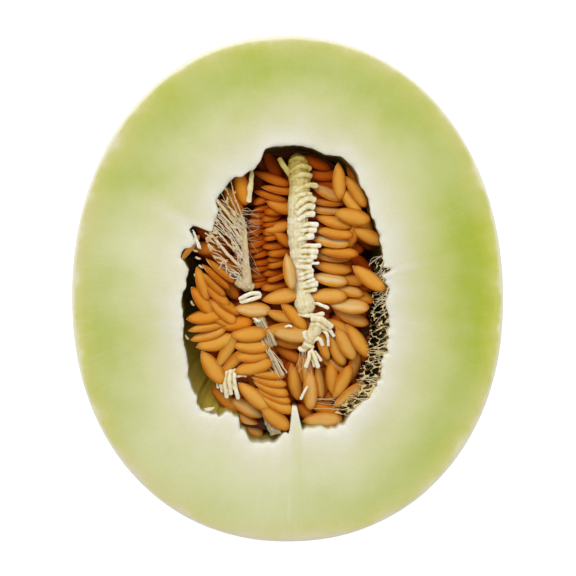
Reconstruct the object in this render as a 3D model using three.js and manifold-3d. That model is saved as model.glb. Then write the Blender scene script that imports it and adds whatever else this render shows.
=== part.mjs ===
// Half of a pale green honeydew melon, cut lengthwise, lying on its rind with the cut face up.
// Millimetres, +Z up. +Y points to the stem end, and the cut face is level with its top.
// The origin is on the surface that the melon rests on, under the middle of the cut face.

import * as THREE from 'three';
import { mergeVertices } from 'three/addons/utils/BufferGeometryUtils.js';
import Module from 'manifold-3d';

// The whole melon, before the cut: round about its long axis, a little fuller than an ellipse.
const MELON = {
  equatorRadius: 71.8,
  widestY: -3.6,
  stemReach: 88.6,
  blossomReach: 81.4,
  fullness: 2.12,
  lean: 0.6,
  aroundSegments: 64,
  lengthSegments: 32,
};

// The rind is flattened a little where the half rests.
const REST_SPOT_DEPTH = 1.8;
const CUT_HEIGHT = MELON.equatorRadius - REST_SPOT_DEPTH;

// The seed cavity: its half widths and half lengths on the cut face, and its depth below it.
const CAVITY = {
  rightReach: 33.7,
  leftReach: 35.2,
  stemReach: 48.8,
  blossomReach: 48.4,
  stemFullness: 2.1,
  blossomFullness: 2.8,
  depth: 34,
  aroundSegments: 150,
  depthSegments: 8,
};

// Where the cavity's rim is torn out (+) or the flesh reaches in (-): degrees about the
// middle of the cut face from +X towards +Y, the reach in mm, and the run of each end.
const RIM_TEARS = [
  { name: 'upper right shoulder', from: 56, to: 76, run: 8, reach: 1.2 },
  { name: 'right lip', from: 8, to: 52, run: 12, reach: -1.4 },
  { name: 'upper left lip', from: 101, to: 141, run: 5, reach: -3.8 },
  { name: 'upper left corner', from: 129, to: 142, run: 5, reach: -3.2 },
  { name: 'left lip', from: 149, to: 157, run: 4, reach: -1.8 },
  { name: 'left nick', from: 158, to: 166, run: 3, reach: 1.5 },
  { name: 'torn corner', from: 229, to: 241.5, run: 3, reach: 2 },
  { name: 'lower left step', from: 242.5, to: 251.5, run: 2.5, reach: -2.6 },
  { name: 'lower left pocket', from: 252, to: 269, run: 6, reach: 3.2 },
  { name: 'tongue', from: 271, to: 277, run: 3, reach: -9.5 },
  { name: 'lower right lip', from: 292, to: 306, run: 5, reach: -1.2 },
];

// The tears and the tongue die out below the cut face: the power of the slope's cosine.
const TEAR_FADE_POWER = 8;

// The heap of seeds. Its edge stands inside the cavity's rim by this much, and further where
// the wall shows beside it or the flesh reaches in.
const HEAP = {
  edgeGap: 2,
  widestSpread: 0.97,
  wallGap: 1.2,
  level: -4,
  minimumThickness: 1.5,
  aroundSegments: 60,
  undersideRings: 4,
  topRings: 12,
};

const HEAP_EDGE_GAPS = [
  { name: 'upper left lip', from: 95, to: 150, run: 8, reach: 5 },
  { name: 'left gap', from: 146, to: 215, run: 14, reach: 4.5 },
  { name: 'lower left gap', from: 200, to: 245, run: 12, reach: 6.5 },
  { name: 'lower left step', from: 240, to: 256, run: 5, reach: 3 },
  { name: 'tongue', from: 259, to: 289, run: 9, reach: 10.5 },
  { name: 'lower right lip', from: 287, to: 310, run: 8, reach: 2.2 },
  { name: 'right gap', from: 312, to: 385, run: 12, reach: 4 },
];

// Rises (+) and hollows (-) of the heap's top: the place on the cut face, the half lengths
// along X and Y, and the height.
const HEAP_RELIEF = [
  { name: 'deep stack beside the ridge', x: -5.5, y: 17, alongX: 6.5, alongY: 20, rise: -10 },
  { name: 'hollow at the stem end', x: 8, y: 44, alongX: 15, alongY: 6, rise: -8 },
  { name: 'hollow at the upper left', x: -13, y: 36, alongX: 6, alongY: 8, rise: -3 },
  { name: 'gap by the right wall', x: 29, y: 4, alongX: 5, alongY: 13, rise: -8 },
  { name: 'gap by the left wall', x: -31, y: 4, alongX: 5, alongY: 14, rise: -7 },
  { name: 'gap at the lower left', x: -29, y: -33, alongX: 6, alongY: 10, rise: -9 },
  { name: 'mound of loose seeds', x: 13, y: -30, alongX: 13, alongY: 13, rise: 2.4 },
  { name: 'mound at the left', x: -19, y: -16, alongX: 11, alongY: 14, rise: 1.6 },
  { name: 'rows at the right', x: 17, y: 12, alongX: 9, alongY: 20, rise: 1.6 },
];

// Seeds lying across the heap give it low waves.
const SEED_WAVE = { rise: 0.9, alongX: 17, alongY: 9.5 };

// The seed-bearing strands: points on the cut face's axes with the height below it, then the
// half widths at the two ends and the middle, and the half thickness.
const STRANDS = {
  placenta_ridge: {
    path: [[3.4, 44, -6], [2.8, 35, -4.6], [2.9, 24, -3.6], [3.4, 12, -3.4], [5.2, 1, -3.4], [7.4, -8, -4]],
    halfWidth: [2.6, 3.9, 3.2],
    halfThickness: 3,
    fringePitch: 2.6,
    fringeReach: 0.45,
    lengthSegments: 42,
    bedSegments: 14,
  },
  placenta_lower: {
    path: [[14.2, -10.6, -3.6], [10.4, -14, -3.2], [7, -18.4, -3.4], [4.6, -22.6, -4.2]],
    halfWidth: [1.8, 2.4, 1.6],
    halfThickness: 1.9,
    fringePitch: 2.4,
    fringeReach: 0.4,
    lengthSegments: 14,
    bedSegments: 5,
  },
  placenta_left: {
    path: [[-22, 30.4, -5], [-17.4, 25.4, -4.2], [-14.9, 17, -3.8], [-14.3, 7, -3.6], [-12.4, -2.2, -3.8]],
    halfWidth: [1, 1.6, 2.4],
    halfThickness: 1.7,
    fringePitch: 3,
    fringeReach: 0.3,
    lengthSegments: 24,
    bedSegments: 10,
  },
  placenta_tuft: {
    path: [[-21, -28.4, -3.6], [-18.8, -32, -3], [-17.6, -35.6, -3.4]],
    halfWidth: [1.8, 2.8, 2],
    halfThickness: 1.7,
    fringePitch: 2.2,
    fringeReach: 0.25,
    lengthSegments: 10,
    bedSegments: 4,
  },
};
const STRAND_SIDES = 8;
const STRAND_CAP_SEGMENTS = 2;
const STRAND_END_REACH = 1;

// Clearance kept round each strand where it lies in the heap.
const STRAND_GAP = 0.35;

const LOOKS = {
  melon_flesh: { color: 0xd7db9e, roughness: 0.45, metalness: 0 },
  seed_heap: { color: 0xc9812f, roughness: 0.4, metalness: 0 },
  placenta_ridge: { color: 0xe2dfc4, roughness: 0.5, metalness: 0 },
  placenta_lower: { color: 0xe2dfc4, roughness: 0.5, metalness: 0 },
  placenta_left: { color: 0xdcd2ac, roughness: 0.5, metalness: 0 },
  placenta_tuft: { color: 0xeae7d6, roughness: 0.5, metalness: 0 },
};

const wasm = await Module();
wasm.setup();

// ---- Solids from closed geometries, and back ----

// Triangles left with no area once shared vertices are one, as at a pole.
function withoutCollapsedTriangles(index) {
  const kept = [];
  for (let i = 0; i < index.length; i += 3) {
    const [a, b, c] = [index[i], index[i + 1], index[i + 2]];
    if (a !== b && b !== c && c !== a) {
      kept.push(a, b, c);
    }
  }
  return kept;
}

function toSolid(geometry) {
  const bare = geometry.clone();
  bare.deleteAttribute('normal');
  bare.deleteAttribute('uv');
  const merged = mergeVertices(bare, 1e-4);
  return new wasm.Manifold(new wasm.Mesh({
    numProp: 3,
    vertProperties: new Float32Array(merged.attributes.position.array),
    triVerts: new Uint32Array(withoutCollapsedTriangles(merged.index.array)),
  }));
}

function toGeometry(solid) {
  const mesh = solid.getMesh();
  const geometry = new THREE.BufferGeometry();
  geometry.setAttribute('position', new THREE.BufferAttribute(mesh.vertProperties, 3));
  geometry.setIndex(new THREE.BufferAttribute(mesh.triVerts, 1));
  geometry.computeVertexNormals();
  return geometry;
}

// Moves every vertex of a geometry to where place(vertex) puts it.
function reshape(geometry, place) {
  const position = geometry.attributes.position;
  const vertex = new THREE.Vector3();
  for (let i = 0; i < position.count; i += 1) {
    vertex.fromBufferAttribute(position, i);
    place(vertex);
    position.setXYZ(i, vertex.x, vertex.y, vertex.z);
  }
  return geometry;
}

// ---- Outlines ----

// 0 before from, 1 from one run later until one run before to, and 0 again after to.
function plateau(angle, { from, to, run }) {
  const turns = Math.floor((angle - from) / 360) * 360;
  const along = angle - turns;
  const rise = THREE.MathUtils.smoothstep(along, from, from + run);
  const fall = THREE.MathUtils.smoothstep(along, to - run, to);
  return rise * (1 - fall);
}

function sumOfPlateaus(list, angle) {
  return list.reduce((sum, item) => sum + item.reach * plateau(angle, item), 0);
}

// The cavity's rim on the cut face without its tears: a rounded oval, squarer at the blossom end.
function plainRimRadius(angle) {
  const across = Math.cos(THREE.MathUtils.degToRad(angle));
  const along = Math.sin(THREE.MathUtils.degToRad(angle));
  const width = across > 0 ? CAVITY.rightReach : CAVITY.leftReach;
  const length = along > 0 ? CAVITY.stemReach : CAVITY.blossomReach;
  const fullness = along > 0 ? CAVITY.stemFullness : CAVITY.blossomFullness;
  const sum = (Math.abs(across) / width) ** fullness + (Math.abs(along) / length) ** fullness;
  return sum ** (-1 / fullness);
}

function angleOf(x, y) {
  return THREE.MathUtils.radToDeg(Math.atan2(y, x));
}

// ---- The flesh ----

// The outside of the whole melon, with the level of its widest circle at CUT_HEIGHT.
function wholeMelon() {
  const sphere = new THREE.SphereGeometry(1, MELON.aroundSegments, MELON.lengthSegments);
  return toSolid(reshape(sphere, (vertex) => {
    const round = Math.hypot(vertex.x, vertex.z) / MELON.equatorRadius;
    const reach = vertex.y > 0 ? MELON.stemReach : MELON.blossomReach;
    const long = Math.abs(vertex.y) / reach;
    const size = (round ** MELON.fullness + long ** MELON.fullness) ** (-1 / MELON.fullness);
    vertex.multiplyScalar(size);
    vertex.x -= MELON.lean * (vertex.y / reach);
    vertex.y += MELON.widestY;
    vertex.z += CUT_HEIGHT;
  }));
}

// The cavity: an oval bowl whose rim carries the tears, run straight up above the cut face.
function seedCavity() {
  const sphere = new THREE.SphereGeometry(1, CAVITY.aroundSegments, CAVITY.depthSegments * 2);
  sphere.rotateX(Math.PI / 2);
  return toSolid(reshape(sphere, (vertex) => {
    const slope = Math.hypot(vertex.x, vertex.y);
    const angle = angleOf(vertex.x, vertex.y);
    const tear = sumOfPlateaus(RIM_TEARS, angle) * slope ** TEAR_FADE_POWER;
    const rim = plainRimRadius(angle) + tear;
    const size = vertex.z > 0 ? rim : 1 / Math.hypot(slope / rim, vertex.z / CAVITY.depth);
    vertex.multiplyScalar(size);
    vertex.z += CUT_HEIGHT;
  }));
}

// A block that takes away everything between two heights.
function slab(bottom, top) {
  const side = 4 * MELON.stemReach;
  const box = new THREE.BoxGeometry(side, side, top - bottom);
  box.translate(0, 0, (top + bottom) / 2);
  return toSolid(box);
}

function melonFlesh() {
  const above = slab(CUT_HEIGHT, CUT_HEIGHT + 2 * MELON.equatorRadius);
  const below = slab(-2 * MELON.equatorRadius, 0);
  return toGeometry(wholeMelon().subtract(above).subtract(below).subtract(seedCavity()));
}

// ---- The seeds ----

// Height of the heap's top at a place on the cut face, counted from the cut face.
function heapTop(x, y) {
  const relief = HEAP_RELIEF.reduce((sum, part) => {
    const u = (x - part.x) / part.alongX;
    const v = (y - part.y) / part.alongY;
    return sum + part.rise * Math.exp(-u * u - v * v);
  }, HEAP.level);
  const phase = 2 * Math.PI * (y / SEED_WAVE.alongY);
  const sway = Math.sin(2 * Math.PI * (x / SEED_WAVE.alongX));
  return relief + SEED_WAVE.rise * Math.sin(phase + sway);
}

// The rim that the heap has to stay clear of, with what reaches in but without what is torn out.
function innerRimRadius(angle) {
  return plainRimRadius(angle) + Math.min(0, sumOfPlateaus(RIM_TEARS, angle)) - HEAP.wallGap;
}

function heapEdgeRadius(angle) {
  const wanted = plainRimRadius(angle) - HEAP.edgeGap - sumOfPlateaus(HEAP_EDGE_GAPS, angle);
  return Math.min(wanted, HEAP.widestSpread * innerRimRadius(angle));
}

// Depth of the heap's underside, which follows the cavity's wall a little inside it.
function heapUnderside(angle, radius) {
  const spread = radius / innerRimRadius(angle);
  return -(CAVITY.depth - HEAP.wallGap) * Math.sqrt(1 - spread ** 2);
}

// A disc with a top and an underside is turned on the lathe, then each vertex is moved out to
// the heap's edge and up or down to its surfaces.
function seedHeap() {
  const underside = Array.from({ length: HEAP.undersideRings + 1 }, (_, i) => (
    new THREE.Vector2(i / HEAP.undersideRings, -1)));
  const top = Array.from({ length: HEAP.topRings + 1 }, (_, i) => (
    new THREE.Vector2(1 - i / HEAP.topRings, 1)));
  const disc = new THREE.LatheGeometry([...underside, ...top], HEAP.aroundSegments);
  disc.rotateX(Math.PI / 2);
  return reshape(disc, (vertex) => {
    const angle = angleOf(vertex.x, vertex.y);
    const edge = heapEdgeRadius(angle);
    vertex.x *= edge;
    vertex.y *= edge;
    const floor = heapUnderside(angle, Math.hypot(vertex.x, vertex.y));
    const level = Math.max(heapTop(vertex.x, vertex.y), floor + HEAP.minimumThickness);
    vertex.z = CUT_HEIGHT + (vertex.z > 0 ? level : floor);
  });
}

// ---- The strands that carried the seeds ----

// A value that runs from the first of three numbers through the second to the third.
function throughThree([start, middle, end], t) {
  return t < 0.5
    ? THREE.MathUtils.lerp(start, middle, 2 * t)
    : THREE.MathUtils.lerp(middle, end, 2 * t - 1);
}

// How much wider a strand is where a seed's stalk leaves it than between two stalks.
function stalkReach(shape, along) {
  return shape.fringeReach * Math.abs(Math.sin((Math.PI * along) / shape.fringePitch));
}

// A capsule bent along the strand's path, grown by extra all round. fringe(along) is how far
// its stalk side stands out, as a share of the half width.
function bentCapsule(shape, segments, fringe, extra) {
  const curve = new THREE.CatmullRomCurve3(shape.path.map(([x, y, depth]) => (
    new THREE.Vector3(x, y, CUT_HEIGHT + depth))));
  const length = curve.getLength();
  const capsule = new THREE.CapsuleGeometry(1, length, STRAND_CAP_SEGMENTS, STRAND_SIDES, segments);
  const up = new THREE.Vector3(0, 0, 1);
  return reshape(capsule, (vertex) => {
    const along = THREE.MathUtils.clamp(vertex.y + length / 2, 0, length);
    const beyond = vertex.y + length / 2 - along;
    const t = along / length;
    const tangent = curve.getTangentAt(t);
    const side = new THREE.Vector3().crossVectors(tangent, up).normalize();
    const widening = vertex.x < 0 ? 1 + fringe(along) : 1;
    const across = vertex.x * (throughThree(shape.halfWidth, t) * widening + extra);
    const height = vertex.z * (shape.halfThickness + extra);
    vertex.copy(curve.getPointAt(t));
    vertex.addScaledVector(tangent, beyond * (STRAND_END_REACH + extra));
    vertex.addScaledVector(side, across);
    vertex.z += height;
  });
}

function strand(shape) {
  return bentCapsule(shape, shape.lengthSegments, (along) => stalkReach(shape, along), 0);
}

// The room that a strand takes in the heap.
function bed(shape) {
  return toSolid(bentCapsule(shape, shape.bedSegments, () => shape.fringeReach, STRAND_GAP));
}

// The heap with a bed cut in it for every strand.
function beddedHeap() {
  const beds = Object.values(STRANDS).map(bed);
  return toGeometry(beds.reduce((heap, room) => heap.subtract(room), toSolid(seedHeap())));
}

// ---- The assembled half ----

function namedMesh(name, geometry) {
  const mesh = new THREE.Mesh(geometry, new THREE.MeshStandardMaterial(LOOKS[name]));
  mesh.name = name;
  return mesh;
}

const melonHalf = new THREE.Group();
melonHalf.add(namedMesh('melon_flesh', melonFlesh()));
melonHalf.add(namedMesh('seed_heap', beddedHeap()));
for (const [name, shape] of Object.entries(STRANDS)) {
  melonHalf.add(namedMesh(name, strand(shape)));
}

export default melonHalf;
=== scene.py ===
"""Half of a honeydew melon, cut lengthwise and lying on its rind: its flesh, seeds and
seed strands, modelled round the part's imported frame.

Lengths are in millimetres in the lists and formulas, and become metres where a mesh is
made. Places are on the cut face's axes: +X right, +Y to the stem end, and heights are
counted from the cut face, so below it they are negative. Angles are in degrees.
"""

import itertools
import math

import bpy
import numpy as np
from bpy.props import FloatProperty, FloatVectorProperty, IntProperty, PointerProperty
from bpy.types import Operator, Panel, PropertyGroup
from mathutils import Matrix, Vector


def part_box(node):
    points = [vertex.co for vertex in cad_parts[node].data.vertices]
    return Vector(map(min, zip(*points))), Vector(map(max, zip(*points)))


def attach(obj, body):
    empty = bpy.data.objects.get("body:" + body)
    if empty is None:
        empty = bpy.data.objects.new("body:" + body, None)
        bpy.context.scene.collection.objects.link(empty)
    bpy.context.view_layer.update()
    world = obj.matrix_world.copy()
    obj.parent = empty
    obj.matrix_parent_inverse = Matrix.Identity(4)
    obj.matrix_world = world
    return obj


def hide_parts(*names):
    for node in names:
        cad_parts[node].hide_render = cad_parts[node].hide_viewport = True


bl_info = {
    "name": "Melon Half",
    "version": (1, 0, 0),
    "blender": (4, 5, 0),
    "location": "3D View > Sidebar > Melon",
    "description": "Models a cut melon half with its seeds and seed strands",
    "category": "Add Mesh",
}

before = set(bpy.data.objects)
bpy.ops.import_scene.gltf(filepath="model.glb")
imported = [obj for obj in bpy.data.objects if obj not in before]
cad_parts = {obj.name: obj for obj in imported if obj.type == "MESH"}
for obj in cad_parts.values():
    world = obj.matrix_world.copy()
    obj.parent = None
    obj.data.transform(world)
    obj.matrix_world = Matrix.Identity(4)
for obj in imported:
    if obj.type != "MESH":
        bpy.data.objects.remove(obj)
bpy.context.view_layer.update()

MM = 0.001
LOW, HIGH = (np.array(corner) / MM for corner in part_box("melon_flesh"))
CUT_HEIGHT = HIGH[2]
HALF_WIDTH = (HIGH[0] - LOW[0]) / 2
LENGTH = HIGH[1] - LOW[1]

# The whole melon: how full its oval is (2 is an ellipse), how far its widest circle lies
# from the middle towards the blossom end, and how far its ends lean sideways.
FULLNESS = 2.12
WIDEST_Y = -3.6
LEAN = 0.6
STEM_REACH = LENGTH / 2 - WIDEST_Y
BLOSSOM_REACH = LENGTH / 2 + WIDEST_Y

# The seed cavity's half widths and half lengths on the cut face, and its depth.
CAVITY_RIGHT, CAVITY_LEFT = 33.7, 35.2
CAVITY_STEM, CAVITY_BLOSSOM = 48.8, 48.4
CAVITY_STEM_FULLNESS, CAVITY_BLOSSOM_FULLNESS = 2.1, 2.8
CAVITY_DEPTH = 34.0

# How ragged the rim is, as a share of the usual: the left side is cut clean.
RAGGED_BASE = 1.0
RAGGED_PATCHES = (
    (40, 128, 10, -0.6),  # clean stem end
    (168, 228, 6, -0.5),  # clean left side
    (275, 380, 20, 0.5),  # torn right side
)

# Where the rim is torn out (+) or the flesh reaches in (-): the angle about the middle of the
# cut face, from +X towards +Y, where it starts and ends, the run of each end and the reach.
# The other patches round the cut face are given in the same way.
RIM_TEARS = (
    (54, 75, 7, 2.0),  # upper right shoulder
    (352, 412, 9, -1.3),  # right lip
    (9, 14, 2, 2.5),  # small nick at the right
    (98.5, 145, 4, -3.7),  # upper left lip
    (101.5, 115, 4, -1.7),  # bump on the upper left lip
    (127.5, 145.5, 3.6, -3.4),  # upper left corner
    (147.5, 157.5, 3.5, -2.4),  # left lip
    (157.5, 164.5, 2.5, 1.2),  # left nick
    (163, 182, 5, -1.4),  # left bulge
    (214, 240, 8, 1.3),  # lower left corner
    (229, 241, 3, 1.4),  # torn corner
    (241, 251.5, 2.5, -3.2),  # lower left step
    (252, 269, 5, 3.3),  # lower left pocket
    (270.3, 276.1, 1.9, -9.6),  # tongue
    (274, 287, 4, -1.6),  # lip beside the tongue
    (292, 306, 5, -1.2),  # lower right lip
    (326, 331, 2, 1.0),  # small nick at the lower right
)
TEAR_FADE_POWER = 8

# How green the band under the rind is, from 0 for pale to 1 for full lime.
LIME_BASE = 0.5
LIME_PATCHES = (
    (318, 410, 40, 0.5),  # right side
    (50, 125, 25, 0.2),  # stem end
    (100, 145, 25, 0.15),  # top left
    (140, 178, 15, -0.25),  # watery patch at the left
    (176, 214, 15, 0.15),  # left side
    (208, 300, 22, -0.5),  # blossom end
)

# How clearly pale fibres show on the cut, from 0 to 1.
VEIN_BASE = 0.06
VEIN_PATCHES = (
    (250, 290, 22, 0.2),  # blossom end
    (150, 210, 20, 0.04),  # left side
)

# How light the cavity's wall is painted, from 0 where it is painted deep in shade to 1 where it is
# painted as lit.
WALL_PAINTED_LIGHT_BASE = 0.3
WALL_PAINTED_LIGHT_PATCHES = (
    (190, 262, 25, 0.7),  # lower left, painted as lit
    (150, 205, 15, 0.12),  # left side
    (280, 395, 20, -0.22),  # right side
    (48, 140, 12, -0.16),  # stem end
)

# Rises (+) and hollows (-) of the seed heap: place, half lengths along X and Y, height.
HEAP_LEVEL = -4.0
HEAP_RELIEF = (
    (-5.5, 17, 6.5, 20, -10),  # deep stack beside the ridge
    (10, 45, 14, 5, -6),  # hollow at the stem end
    (-13, 37, 6, 7, -2),  # hollow at the upper left
    (31, 4, 4, 9, -8),  # gap by the right wall
    (27, 10, 3.5, 4.5, -6),  # hollow beside the right rows
    (-31, 4, 5, 14, -6),  # gap by the left wall
    (-31, -33, 5, 8, -8),  # gap at the lower left
    (13, -30, 13, 13, 2.4),  # mound of loose seeds
    (12, -44, 10, 5, 4),  # mound at the blossom end
    (-14, -42, 6, 6, 4),  # mound at the lower left
    (-19, -16, 11, 14, 2.0),  # mound at the left
    (17, 12, 9, 20, 1.6),  # rows at the right
    (22, -12, 6, 8, 2.2),  # rows at the lower right
)

# Where the heap stands clear of the cavity's wall, and by how much.
HEAP_GAPS = (
    (160, 252, 10, 6.5),  # left gap
    (300, 388, 14, 4.5),  # right gap
    (40, 140, 20, 2.0),  # stem end
)

# Seeds laid one by one, from the lowest up: x, y, turn from +X towards +Y, roll about the
# seed's own length (0 lies flat, 90 stands on edge, and a minus roll lowers its left side)
# and length. A sixth value is how pale the seed is, in place of its group's range; on a few
# shiny seeds at the left, in the middle and at the lower left that paleness is partly a
# painted highlight.
RIGHT_ROWS = (
    (24.0, -2.6, -20, -50, 11.5), (18.6, -13.6, -32, -42, 12.0), (21.2, -9.7, -25, -30, 13.4),
    (20.6, -5.6, -6, -32, 13.6), (19.6, -0.6, -13, -48, 12.2), (20.2, 3.0, -13, -52, 12.0),
    (13.6, -2.2, 1, -26, 13.0, 0.7), (14.2, 3.2, -9, -46, 12.4, 1.0),
    (15.2, 6.9, -8, -44, 13.0, 0.55), (15.4, 10.5, -5, -50, 12.3, 0.9),
    (17.2, 12.4, -5, -56, 13.2, 0.3), (14.5, 16.0, -8, -48, 12.8, 1.0),
    (15.9, 18.9, -8, -46, 12.6, 0.4), (15.4, 22.6, -15, -44, 12.6, 0.45),
    (12.7, 26.2, -4, -62, 11.5), (13.6, 28.7, -3, -66, 12.0), (13.4, 32.0, -25, -34, 11.8),
    (12.0, 37.6, 0, -30, 11.0), (9.6, 41.8, -24, -48, 11.5),
)
RIGHT_LOOSE = (
    (26.4, 30.4, -64, -40, 11.5), (28.8, 26.2, -66, -40, 11.0), (22.2, 38.2, -68, -40, 10.0),
    (20.9, 29.6, -52, -25, 11.5), (22.9, 32.6, -57, -38, 12.2), (17.2, 36.3, -87, -30, 12.4),
    (26.9, 17.6, -28, 8, 12.0), (21.4, 24.6, -14, -14, 12.8),
)
LOWER_RIGHT = (
    (12.0, -14.0, -30, -25, 11.0), (22.4, -27.4, 75, 25, 12.0), (14.9, -25.2, -36, -58, 12.0),
    (11.9, -18.9, -70, -45, 11.0), (16.6, -20.6, -66, -28, 12.6), (19.4, -18.4, -60, -32, 12.8),
    (23.5, -17.4, -56, -28, 13.2), (15.0, -30.2, -84, 38, 12.4), (18.3, -31.4, 63, 22, 12.8),
    (20.6, -36.2, 37, 20, 13.2), (5.0, -27.2, -88, 42, 11.0), (10.9, -31.6, -82, -46, 12.4),
    (6.6, -27.4, -86, 20, 10.5), (2.6, -31.8, -78, -22, 12.8), (7.6, -34.0, -88, -14, 14.0),
    (11.8, -44.7, 3, -12, 13.6),
)
CENTRE = (
    (-2.0, -9.2, -20, 20, 11.0), (-3.6, -13.6, 10, 25, 11.5), (0.4, -22.6, -30, 20, 11.0),
    (5.6, -10.2, -46, -40, 12.0), (2.2, -8.8, -47, -34, 13.0), (0.9, -18.0, -6, -22, 13.4),
    (1.3, -14.8, -8, -6, 14.2, 0.8), (-1.8, -2.2, 11, -12, 13.6),
)
STACK_EDGES = (
    (0.4, 45.6, 14, -40, 9.5), (-4.6, 41.0, -62, -30, 12.0), (-4.8, 36.6, -20, -66, 13.0),
    (-2.6, 33.0, -10, -60, 12.4), (-5.6, 31.0, -16, -60, 11.8), (-2.0, 27.6, -20, -30, 10.5),
    (-3.2, 20.4, 14, -28, 9.5), (-1.6, 17.2, -46, -34, 9.5),
)
LEFT_ROWS = (
    (-26.2, 17.8, -30, 30, 11.0), (-22.6, 21.6, -42, 40, 11.5), (-20.2, 26.0, -52, 35, 11.5),
    (-18.0, 29.4, -60, 35, 12.0), (-15.2, 34.4, -78, 28, 12.6), (-25.0, 11.8, -12, 20, 12.0),
    (-27.4, 13.6, -6, -30, 11.0), (-20.0, 0.6, -50, 20, 11.5), (-20.6, 8.4, -38, -64, 12.2),
    (-22.4, 6.6, -40, -66, 12.6), (-23.9, 4.6, -42, -66, 12.4), (-25.0, 2.2, -44, -62, 12.0),
    (-23.7, -1.4, -42, -60, 12.0), (-20.6, -4.8, -36, -64, 12.0), (-28.4, 2.4, -72, -42, 12.0),
    (-28.3, -3.4, -52, -34, 12.4), (-21.4, -9.8, -26, -40, 11.5), (-21.6, -7.0, -43, -30, 12.4),
    (-17.6, -11.2, 6, -38, 12.0), (-11.6, -6.6, -4, -10, 12.4, 0.9), (-27.6, -8.8, 7, -32, 12.6),
)
LOWER_LEFT = (
    (-20.8, -37.6, -40, 20, 12.6), (-26.6, -14.8, 18, -60, 12.6), (-27.2, -12.2, 10, -64, 12.4),
    (-24.0, -17.2, 14, -26, 13.6), (-20.6, -20.6, 60, 24, 12.4), (-17.6, -23.6, 42, 22, 12.4),
    (-12.2, -22.0, 2, -38, 11.6), (-12.4, -18.6, -4, -32, 12.4), (-13.2, -14.6, 2, -30, 12.6),
    (-25.2, -25.6, -56, -22, 13.2), (-11.6, -25.6, 15, -18, 13.4), (-6.8, -28.2, -8, -64, 12.4),
    (-6.4, -30.4, -14, -64, 12.4), (-5.6, -32.8, -22, -50, 12.6), (-4.8, -35.4, -22, -58, 12.4),
    (-3.6, -38.2, -27, -32, 12.4), (-12.4, -46.4, -46, -10, 12.0, 0.78),
    (-13.4, -40.2, -28, -22, 12.8, 0.8), (-4.2, -43.0, -40, -8, 12.6),
    (-11.4, -35.6, -42, -8, 14.0),
)
# The deep stack: seeds that lie over each other like scales, blunt ends up and to the
# left, points under the ridge. Each column's blunt ends: x, first y, step to the next,
# number of seeds and height.
STACK_COLUMNS = (
    (-12.4, 28.2, 2.02, 15, -6.6),
    (-7.6, 25.4, 2.3, 12, -5.6),
)
# The heading, roll and lean of the stack's seeds, and how far each strays; their length, and
# from and to what share of it they go; how far they stray along X, along Y and in height.
STACK_TURN, TURN_STRAY = (194, 62, 34), (9, 9, 5)
STACK_LENGTH, STACK_SIZES = 11.6, (0.92, 1.06)
STACK_STRAY = (1.3, 0.3, 0.6)
# Single seeds on the ridge, on the net and at the left of the rim.
RIDGE_RIDER = ((0.5, 6.6, -80, -30, 12.4),)
NET_RIDER = ((26.9, 4.1, -37, -26, 13.6),)
RIM_SEED = ((-32.6, 14.2, 54, 82, 11.0),)
# The groups from the lowest up: the seeds, how far one may tilt to lie easily (0 keeps it
# as it is, with its top at the next value), the height that none passes, and how pale
# they are, from 0 for deep orange to 1 for pale tan.
SEED_GROUPS = (
    (STACK_EDGES, 6, -5.8, (0.1, 0.4)),
    (RIGHT_ROWS, 4, -1.6, (0.3, 1.0)),
    (LEFT_ROWS, 8, -0.9, (0.05, 0.45)),
    (LOWER_LEFT, 10, 0.2, (0.35, 0.7)),
    (CENTRE, 10, -1.8, (0.3, 0.7)),
    (LOWER_RIGHT, 10, 0.0, (0.45, 0.8)),
    (RIGHT_LOOSE, 12, 0.3, (0.35, 0.7)),
    (RIDGE_RIDER, 0, 1.0, (0.9, 1.0)),
    (NET_RIDER, 0, 0.4, (0.5, 0.6)),
    (RIM_SEED, 0, -0.6, (0.9, 1.0)),
)
# How far the pulp lies under the heap's top, how far seeds press into each other, and how
# unwilling they are to tilt, in mm for each degree.
CORE_DEPTH = 8.0
SEED_SINK = 0.5
TILT_EFFORT = 0.02

# Unevenness, each time the number of waves, the shortest and the longest in mm, and the seed.
FACE_SWELL = (7, (16, 60), 11)
RIM_ROLL = (6, (4, 14), 12)
WALL_LUMPS = (8, (5, 16), 13)
PULP_LUMPS = (9, (3, 9), 21)
STRAND_LUMPS = (5, (2.5, 7), 17)
STRAND_GRAIN = (16, (0.9, 2.4), 41)
SKIN_CRUMPLE = (6, (1.5, 5), 31)
RIPPLE, RIPPLE_SEEDS = (6, (0.9, 2.4)), (5, 6)

# Strands from end to end: x, y and height, and their half widths.
RIDGE_PATH = ((3.2, 45.2, -9.0), (4.0, 40, -7.0), (4.2, 35, -6.0), (3.8, 29.5, -4.8),
              (3.5, 24.5, -4.2), (3.3, 19.5, -4.2), (3.5, 14.5, -4.2), (3.8, 9.5, -4.1),
              (4.2, 4.5, -4.0), (4.7, -0.4, -3.8), (6.0, -5.4, -3.6), (7.6, -8.6, -4.0))
RIDGE_HALF_WIDTHS = (2.8, 3.5, 3.7, 3.6, 3.5, 3.4, 3.1, 2.7, 2.3, 2.1, 3.4, 2.9)
LOWER_PATH = ((11.6, -8.8, -3.2), (9.8, -12, -2.6), (8.2, -15.2, -2.5), (6.9, -18.0, -2.9),
              (5.6, -20.4, -3.8))
LOWER_HALF_WIDTHS = (1.9, 2.6, 2.2, 1.9, 1.5)
LEFT_PATH = ((-15.6, 26.6, -4.2), (-14.9, 22.8, -3.8), (-14.4, 19, -3.5), (-14.3, 15.5, -3.4),
             (-14.1, 12, -3.4), (-13.8, 8.6, -3.5), (-13.5, 5.6, -3.7), (-13.7, 2.6, -4.0),
             (-13.9, -0.8, -4.6))
LEFT_HALF_WIDTHS = (0.3, 0.7, 1.0, 1.2, 1.2, 1.1, 1.4, 1.9, 1.8)
STALK_PATH = ((-11.6, 40.6, -4.8), (-12.3, 35.0, -3.7), (-12.9, 29.2, -3.6))
STALK_HALF_WIDTHS = (0.75, 0.9)
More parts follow.
